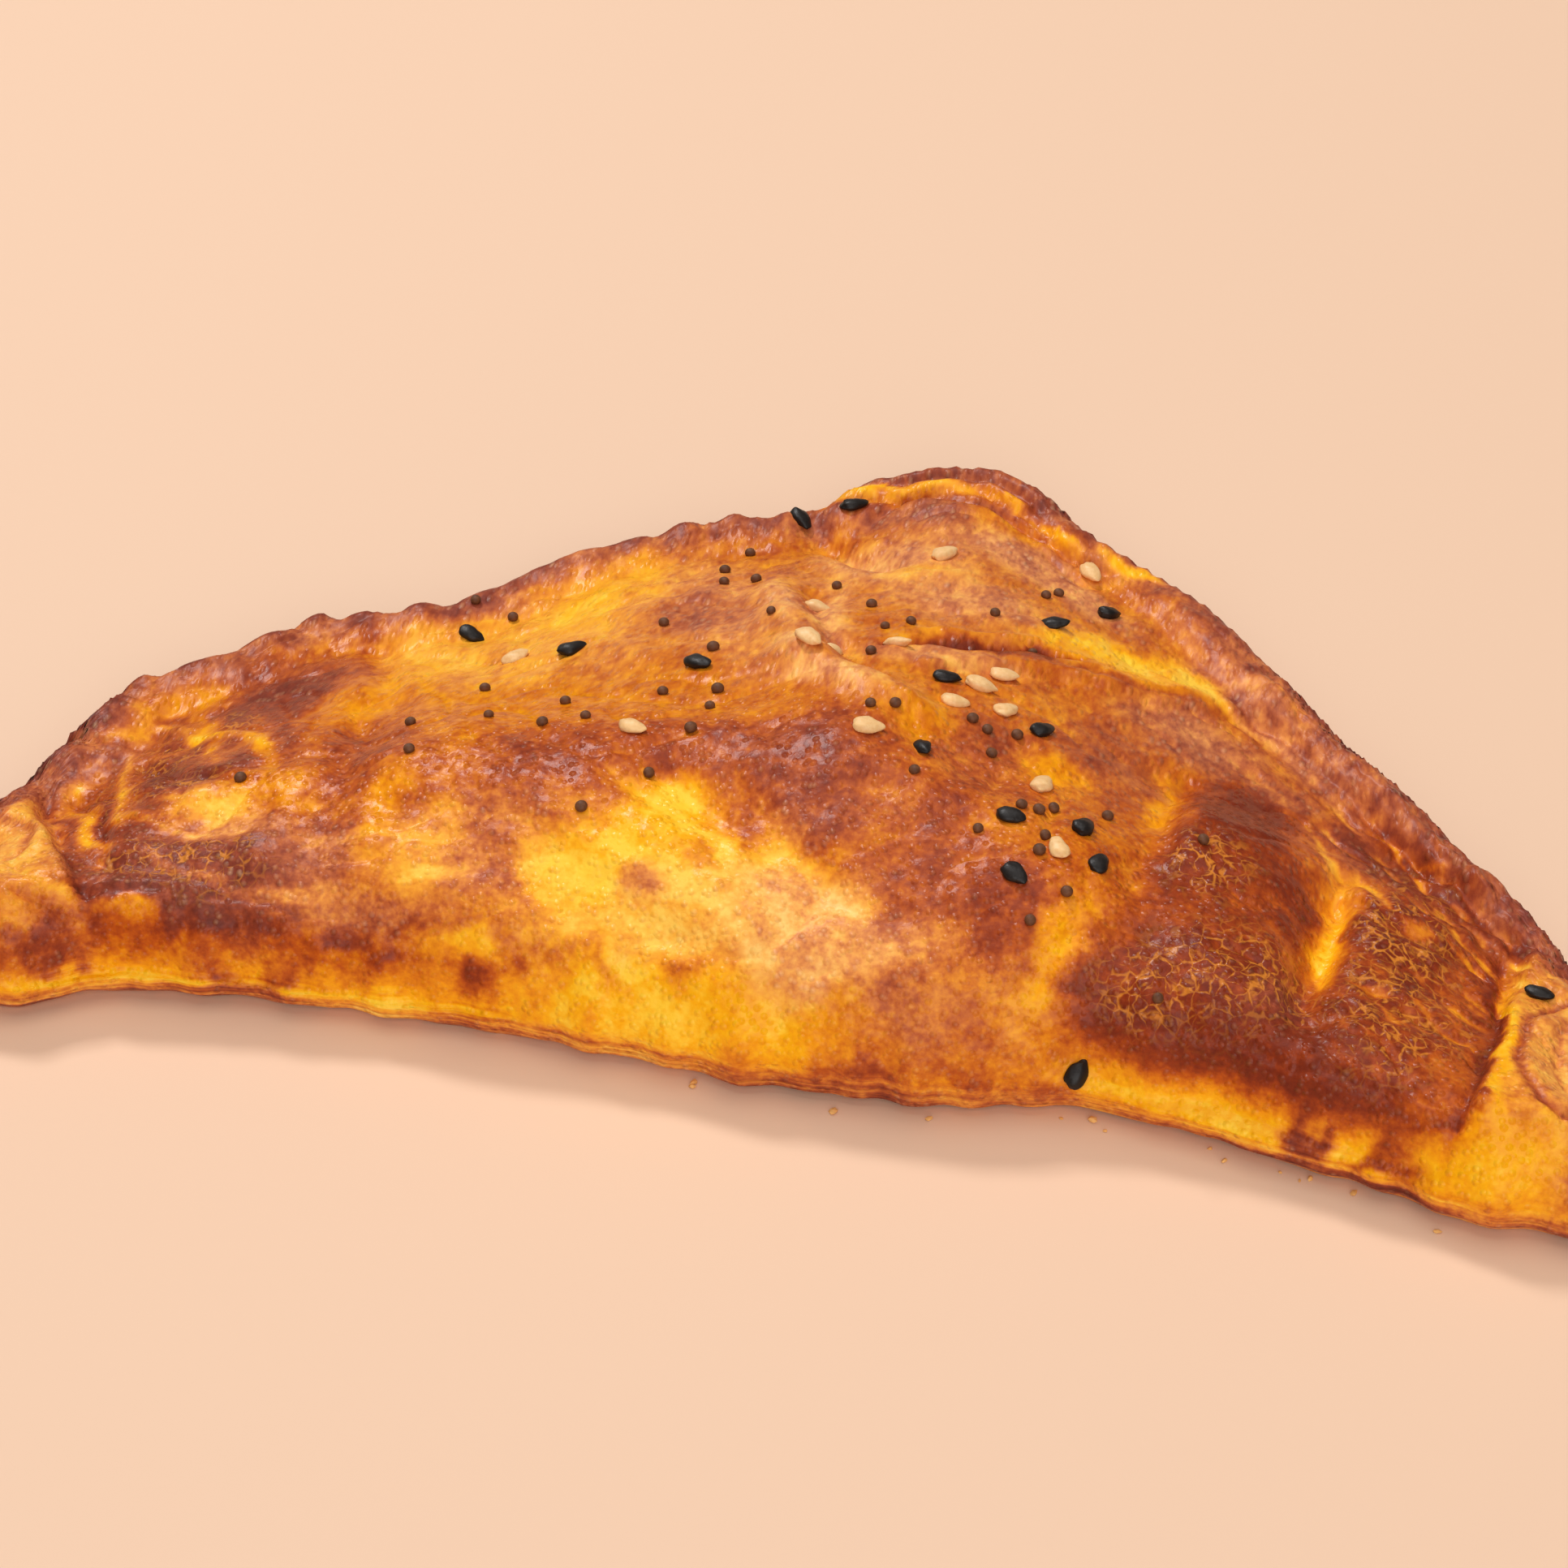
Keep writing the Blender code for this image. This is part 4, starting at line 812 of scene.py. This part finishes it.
# Golden crackle where the darkest glaze has split: a bent net whose lines swell and fade, and
# loose threads between them
shift = add(
    tree, "ShaderNodeTexNoise", {"Vector": place, "Scale": 1 / (BEND_SIZE * MM), "Detail": 2}
).outputs["Color"]
pull = add(
    tree, "ShaderNodeVectorMath", {0: shift, "Scale": BEND * MM}, operation="SCALE"
).outputs[0]
bent = add(tree, "ShaderNodeVectorMath", {0: place, 1: pull}, operation="ADD").outputs[0]
cell = add(
    tree,
    "ShaderNodeTexVoronoi",
    {"Vector": bent, "Scale": 1 / (CRACK_CELL * MM)},
    feature="DISTANCE_TO_EDGE",
).outputs["Distance"]
varied = add(
    tree, "ShaderNodeMath", {0: patterns["freckle"], 1: -0.5, 2: cell}, operation="MULTIPLY_ADD"
).outputs[0]
crack = add(
    tree,
    "ShaderNodeMapRange",
    {"Value": varied, "From Min": -0.16, "From Max": -0.27, "To Max": 0.65},
).outputs["Result"]
crackled = add(tree, "ShaderNodeAttribute", attribute_name="crackled").outputs["Fac"]
dark = add(
    tree, "ShaderNodeMapRange", {"Value": toned, "From Min": 0.5, "From Max": 0.72}
).outputs["Result"]
where = add(tree, "ShaderNodeMath", {0: dark, 1: crackled}, operation="MULTIPLY").outputs[0]
broken = add(
    tree,
    "ShaderNodeMapRange",
    {"Value": patterns["freckle"], "From Min": 0.42, "From Max": 0.64},
).outputs["Result"]
wisp = add(
    tree,
    "ShaderNodeTexNoise",
    {"Vector": bent, "Scale": 1 / (WISP_SIZE * MM), "Detail": 3, "Distortion": 0.4},
).outputs["Fac"]
off_middle = add(tree, "ShaderNodeMath", {0: wisp, 1: 0.5}, operation="SUBTRACT").outputs[0]
away = add(tree, "ShaderNodeMath", {0: off_middle}, operation="ABSOLUTE").outputs[0]
thread = add(
    tree, "ShaderNodeMapRange", {"Value": away, "From Min": 0.04, "From Max": 0.0, "To Max": 0.5}
).outputs["Result"]
thread = add(tree, "ShaderNodeMath", {0: thread, 1: broken}, operation="MULTIPLY").outputs[0]
either = add(tree, "ShaderNodeMath", {0: crack, 1: thread}, operation="MAXIMUM").outputs[0]
split = add(tree, "ShaderNodeMath", {0: either, 1: where}, operation="MULTIPLY").outputs[0]
colour = add(
    tree, "ShaderNodeMix", {0: split, 6: with_painted_glints, 7: linear(CRACKLE_GOLD)}, data_type="RGBA"
).outputs[2]
height = blister
for pattern, share in (
    (split, SPLIT_DEPTH),
    (patterns["grain"], GRAIN_HEIGHT),
    (patterns["puff"], PUFF_HEIGHT),
    (edges, LEAF_HEIGHT),
):
    height = add(
        tree, "ShaderNodeMath", {0: pattern, 1: share, 2: height}, operation="MULTIPLY_ADD"
    ).outputs[0]
bump = add(
    tree, "ShaderNodeBump", {"Height": height, "Strength": 1.0, "Distance": BUMP_DEPTH * MM}
).outputs["Normal"]
rough = add(
    tree,
    "ShaderNodeMapRange",
    {"Value": dull_and_sheen, "To Min": ROUGHNESS[0], "To Max": ROUGHNESS[1]},
).outputs["Result"]
tree.links.new(colour, shader.inputs["Base Color"])
tree.links.new(rough, shader.inputs["Roughness"])
tree.links.new(bump, shader.inputs["Normal"])
shader.inputs["IOR"].default_value = 1.45
shader.inputs["Specular IOR Level"].default_value = 0.18
crust_mesh.materials.append(baked)

crust = bpy.data.objects.new("crust", crust_mesh)
bpy.context.scene.collection.objects.link(crust)
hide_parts("pastry")
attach(crust, "root")

# The seeds
# Whole black and white sesame and poppy seeds, scattered on the wet egg wash before baking.
# The wash glues each one down flat on the crust, a little sunk in it.

SESAME_SIZE = (3.1, 2.0, 1.2)
POPPY_SIZE = (1.2, 1.15, 1.0)
SEED_SINK = 0.22
SESAME_TAPER = 0.6
SEED_LUMPS = 0.2
LUMPS_PER_SEED = 3
SMALLEST_SEED = 0.78
SEED_DRAW = 7
# x, y and turn in degrees
BLACK_SESAME = [
    (-37, 8, -15), (-24.5, 0, 46), (-11, -5.5, -27), (12, -17.5, -61), (11.5, -3.5, 13),
    (21, -24, -3), (22.5, -30.5, -37), (21, -8, 57), (18.5, 15, 10), (27, -22.5, 73),
    (29, -26.5, 77), (22.5, 23, 53), (30, -40.4, 75), (-5.5, 37, 37), (-10.5, 34.5, -45),
    (67, -24.6, -17),
]
WHITE_SESAME = [
    (-30, 0, 60), (-13.5, -19.5, -23), (-3.5, 10.5, -12), (-1, -4.5, -46), (0.5, -1, 63),
    (6, 1.5, -17), (16, 1, 13), (14.5, -3, 10), (13, -7.5, 13), (17.5, -6.5, 48),
    (22.5, -17, 79), (25.5, -26.5, 115), (19.5, 31, -52), (6, 25.5, 58), (7, -17, 13),
]
# x, y
POPPY = [
    (-38, 13), (-34, 12), (-30.5, -8.5), (-27.5, -17), (-34.5, -18), (-32.5, -24.5),
    (-22, -18.5), (-21.5, -13), (-18.5, -17), (-17, 5), (-13, -11), (-10.5, -2),
    (-8, -10.5), (-8, -13.5), (-8.5, -18.5), (-11, -24), (-15.5, -29.5), (-47.5, -27),
    (-15, 21), (-14, 16.5), (-14, 27.5), (-11, 17.5), (-6.5, 4.5), (-3, 17), (1.5, 11.5),
    (4, 5.5), (6, 7.5), (13, 13), (16.5, 21.5), (17.5, 23), (4, -1), (17.5, 8), (6.5, -13.5),
    (8.5, -12.5), (15, -10), (16.5, -11), (19, -10), (17.5, -14.5), (12, -21), (21.5, -22),
    (23, -22), (24, -20.5), (24, -25), (24, -27.5), (18.5, -26), (28.5, -18.5), (27, -31),
    (24.5, -34), (36, -37.5), (37, -20),
]


def seed_places():
    """Kind, place and turn of every seed. The round poppy seeds are turned at random."""
    draw = random.Random(SEED_DRAW)
    places = []
    for kind, spots in (("black", BLACK_SESAME), ("white", WHITE_SESAME)):
        places += [(kind, x, y, math.radians(turn)) for x, y, turn in spots]
    return places + [("poppy", x, y, draw.uniform(0, 2 * math.pi)) for x, y in POPPY]


def add_seed(bm, kind, place, upward, turn):
    """One seed, lying on the crust and a little sunk in it."""
    if kind == "poppy":
        made = bmesh.ops.create_icosphere(bm, subdivisions=3, radius=0.5)["verts"]
        size = Vector(POPPY_SIZE)
    else:
        made = bmesh.ops.create_uvsphere(bm, u_segments=18, v_segments=14, radius=0.5)["verts"]
        size = Vector(SESAME_SIZE)
        for vertex in made:
            vertex.co = vertex.co.zyx
            vertex.co.yz *= 1 - SESAME_TAPER * vertex.co.x
            vertex.co *= 1 + SEED_LUMPS * noise.noise(vertex.co * LUMPS_PER_SEED + place / MM)
    size *= SMALLEST_SEED + (1 - SMALLEST_SEED) * (0.5 + noise.noise(place / MM))
    lift = (0.5 - SEED_SINK) * size.z * MM
    stand = Vector((0, 0, 1)).rotation_difference(upward).to_matrix().to_4x4()
    bmesh.ops.scale(bm, vec=size * MM, verts=made)
    spin = Matrix.Rotation(turn, 4, "Z")
    move = Matrix.Translation(place + upward * lift)
    bmesh.ops.transform(bm, matrix=move @ stand @ spin, verts=made)


ground = BVHTree.FromPolygons(
    [v.co for v in crust_mesh.vertices], [p.vertices for p in crust_mesh.polygons]
)
seed_bms = {"black": bmesh.new(), "white": bmesh.new(), "poppy": bmesh.new()}
for kind, x, y, turn in seed_places():
    above = Vector((x, y - MIDDLE_Y, 2 * SWELL_HEIGHT)) * MM
    place, upward, _, _ = ground.ray_cast(above, Vector((0, 0, -1)))
    add_seed(seed_bms[kind], kind, place, upward, turn)

# Seed coats: dull, with a fine grain, and a little shine where the wash has coated them. Each has
# its slot, light and dark colour, and roughness.
SEED_COATS = {
    "black": ("black_sesame", "120D0A", "221A16", 0.45),
    "white": ("white_sesame", "FAD39C", "DFA45C", 0.45),
    "poppy": ("poppy", "82502F", "35190D", 0.6),
}
COAT_GRAIN = 0.4
for kind, (slot, light, dark, roughness) in SEED_COATS.items():
    bmesh.ops.recalc_face_normals(seed_bms[kind], faces=seed_bms[kind].faces)
    mesh = bpy.data.meshes.new(slot)
    seed_bms[kind].to_mesh(mesh)
    seed_bms[kind].free()
    mesh.shade_smooth()
    coat = bpy.data.materials.new(slot + "_seed_coat")
    coat.use_nodes = True
    tree = coat.node_tree
    shader = tree.nodes["Principled BSDF"]
    place = add(tree, "ShaderNodeTexCoord").outputs["Object"]
    grain = add(
        tree, "ShaderNodeTexNoise", {"Vector": place, "Scale": 1 / (COAT_GRAIN * MM), "Detail": 3}
    ).outputs["Fac"]
    tint = add(
        tree, "ShaderNodeMix", {0: grain, 6: linear(light), 7: linear(dark)}, data_type="RGBA"
    ).outputs[2]
    bump = add(
        tree, "ShaderNodeBump", {"Height": grain, "Strength": 0.4, "Distance": 0.1 * MM}
    ).outputs["Normal"]
    tree.links.new(tint, shader.inputs["Base Color"])
    tree.links.new(bump, shader.inputs["Normal"])
    shader.inputs["Roughness"].default_value = roughness
    shader.inputs["Specular IOR Level"].default_value = 0.3
    mesh.materials.append(coat)
    seeds = bpy.data.objects.new(slot + "_seeds", mesh)
    bpy.context.scene.collection.objects.link(seeds)
    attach(seeds, "root")

# The crumbs
# Shards of the crust's leaves that broke off at the front edge and lie where they fell, against
# the pastry's foot. They are irregular golden flakes, half a millimetre to a millimetre wide.

CRUMB_DRAW = 11
# Along the front edge: x of the middle, spread, how many
CRUMB_SPOTS = [(48, 4, 6), (34, 5, 4), (6, 12, 4)]
CRUMB_SIZE = (0.4, 1.1)
# Depth and height of a crumb for its width, and how jagged it is
CRUMB_DEPTH = (0.5, 0.9)
CRUMB_HEIGHT = (0.25, 0.5)
CRUMB_JAGS = (0.7, 1.15)
CRUMB_GAP = (-0.8, 0.6)

draw = random.Random(CRUMB_DRAW)
crumb_bm = bmesh.new()
for middle, spread, count in CRUMB_SPOTS:
    for _ in range(count):
        cx = draw.gauss(middle, spread)
        cy = np.interp(cx, *FRONT.T) - draw.uniform(*CRUMB_GAP)
        width = draw.uniform(*CRUMB_SIZE)
        depth, height = draw.uniform(*CRUMB_DEPTH), draw.uniform(*CRUMB_HEIGHT)
        size = Vector((width, width * depth, width * height))
        made = bmesh.ops.create_icosphere(crumb_bm, subdivisions=1, radius=0.5)["verts"]
        for vertex in made:
            vertex.co *= draw.uniform(*CRUMB_JAGS)
        bmesh.ops.scale(crumb_bm, vec=size * MM, verts=made)
        spin = Matrix.Rotation(draw.uniform(0, 2 * math.pi), 4, "Z")
        bmesh.ops.transform(crumb_bm, matrix=spin, verts=made)
        drop = min(vertex.co.z for vertex in made)
        shift = Vector((cx * MM, (cy - MIDDLE_Y) * MM, -drop))
        bmesh.ops.translate(crumb_bm, vec=shift, verts=made)
bmesh.ops.recalc_face_normals(crumb_bm, faces=crumb_bm.faces)
crumb_mesh = bpy.data.meshes.new("crumbs")
crumb_bm.to_mesh(crumb_mesh)
crumb_bm.free()

# Broken leaves of baked dough: dry and matt, gold on the inside and brown on the outside.
CRUMB_COLOURS = ("FFD080", "CC7C2C")
CRUMB_PATCH = 1.2
crumb_crust = bpy.data.materials.new("dry_baked_crumb")
crumb_crust.use_nodes = True
tree = crumb_crust.node_tree
shader = tree.nodes["Principled BSDF"]
place = add(tree, "ShaderNodeTexCoord").outputs["Object"]
patch = add(
    tree, "ShaderNodeTexNoise", {"Vector": place, "Scale": 1 / (CRUMB_PATCH * MM), "Detail": 2}
).outputs["Fac"]
inside, outside = (linear(code) for code in CRUMB_COLOURS)
tint = add(tree, "ShaderNodeMix", {0: patch, 6: inside, 7: outside}, data_type="RGBA").outputs[2]
tree.links.new(tint, shader.inputs["Base Color"])
shader.inputs["Roughness"].default_value = 0.75
crumb_mesh.materials.append(crumb_crust)
crumbs = bpy.data.objects.new("crumbs", crumb_mesh)
bpy.context.scene.collection.objects.link(crumbs)
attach(crumbs, "root")

# Floor, light and camera
# A plain pale floor, a small bright light from behind on the left, which gives the glaze its
# sparkle, a wide soft one overhead, and a wide soft one in front.

FLOOR_SIZE = 6.0
floor_bm = bmesh.new()
bmesh.ops.create_grid(floor_bm, x_segments=1, y_segments=1, size=FLOOR_SIZE / 2)
floor_mesh = bpy.data.meshes.new("floor")
floor_bm.to_mesh(floor_mesh)
floor_bm.free()
# Plain matt paint, rolled on: one pale colour and no gloss, so that only the shadow shows.
pale = bpy.data.materials.new("pale_matt_floor_paint")
pale.use_nodes = True
shader = pale.node_tree.nodes["Principled BSDF"]
shader.inputs["Base Color"].default_value = linear("E6C0A2")
shader.inputs["Roughness"].default_value = 0.7
floor_mesh.materials.append(pale)
floor = bpy.data.objects.new("floor", floor_mesh)
bpy.context.scene.collection.objects.link(floor)

world = bpy.data.worlds.new("soft_surround")
world.use_nodes = True
world.node_tree.nodes["Background"].inputs["Color"].default_value = (1, 0.97, 0.94, 1)
world.node_tree.nodes["Background"].inputs["Strength"].default_value = 0.15
bpy.context.scene.world = world


def area_light(name, place, size, watts):
    """A square soft light aimed at the turnover."""
    lamp = bpy.data.lights.new(name, "AREA")
    lamp.size = size
    lamp.energy = watts
    light = bpy.data.objects.new(name, lamp)
    light.location = place
    light.rotation_euler = (-Vector(place)).to_track_quat("-Z", "Y").to_euler()
    bpy.context.scene.collection.objects.link(light)


area_light("window", (-0.5, 0.65, 0.95), 0.16, 8)
area_light("overhead", (0.0, 0.1, 1.2), 1.2, 7)
area_light("fill", (0.3, -1.0, 0.6), 1.0, 9)

VIEW_AZIMUTH = 12.8
VIEW_ELEVATION = 38.0
VIEW_DISTANCE = 366.4
VIEW_TARGET = Vector((-4.0, -1.5 - MIDDLE_Y, 0)) * MM
LENS = 89.82
azimuth, elevation = math.radians(VIEW_AZIMUTH), math.radians(VIEW_ELEVATION)
towards = Vector((
    math.sin(azimuth) * math.cos(elevation),
    -math.cos(azimuth) * math.cos(elevation),
    math.sin(elevation),
))
camera_data = bpy.data.cameras.new("camera")
camera_data.lens = LENS
camera_data.sensor_width = 36
camera_data.clip_start = 0.01
camera = bpy.data.objects.new("camera", camera_data)
camera.location = VIEW_TARGET + towards * VIEW_DISTANCE * MM
camera.rotation_euler = (-towards).to_track_quat("-Z", "Y").to_euler()
bpy.context.scene.collection.objects.link(camera)
bpy.context.scene.camera = camera
bpy.context.scene.view_settings.view_transform = "Standard"
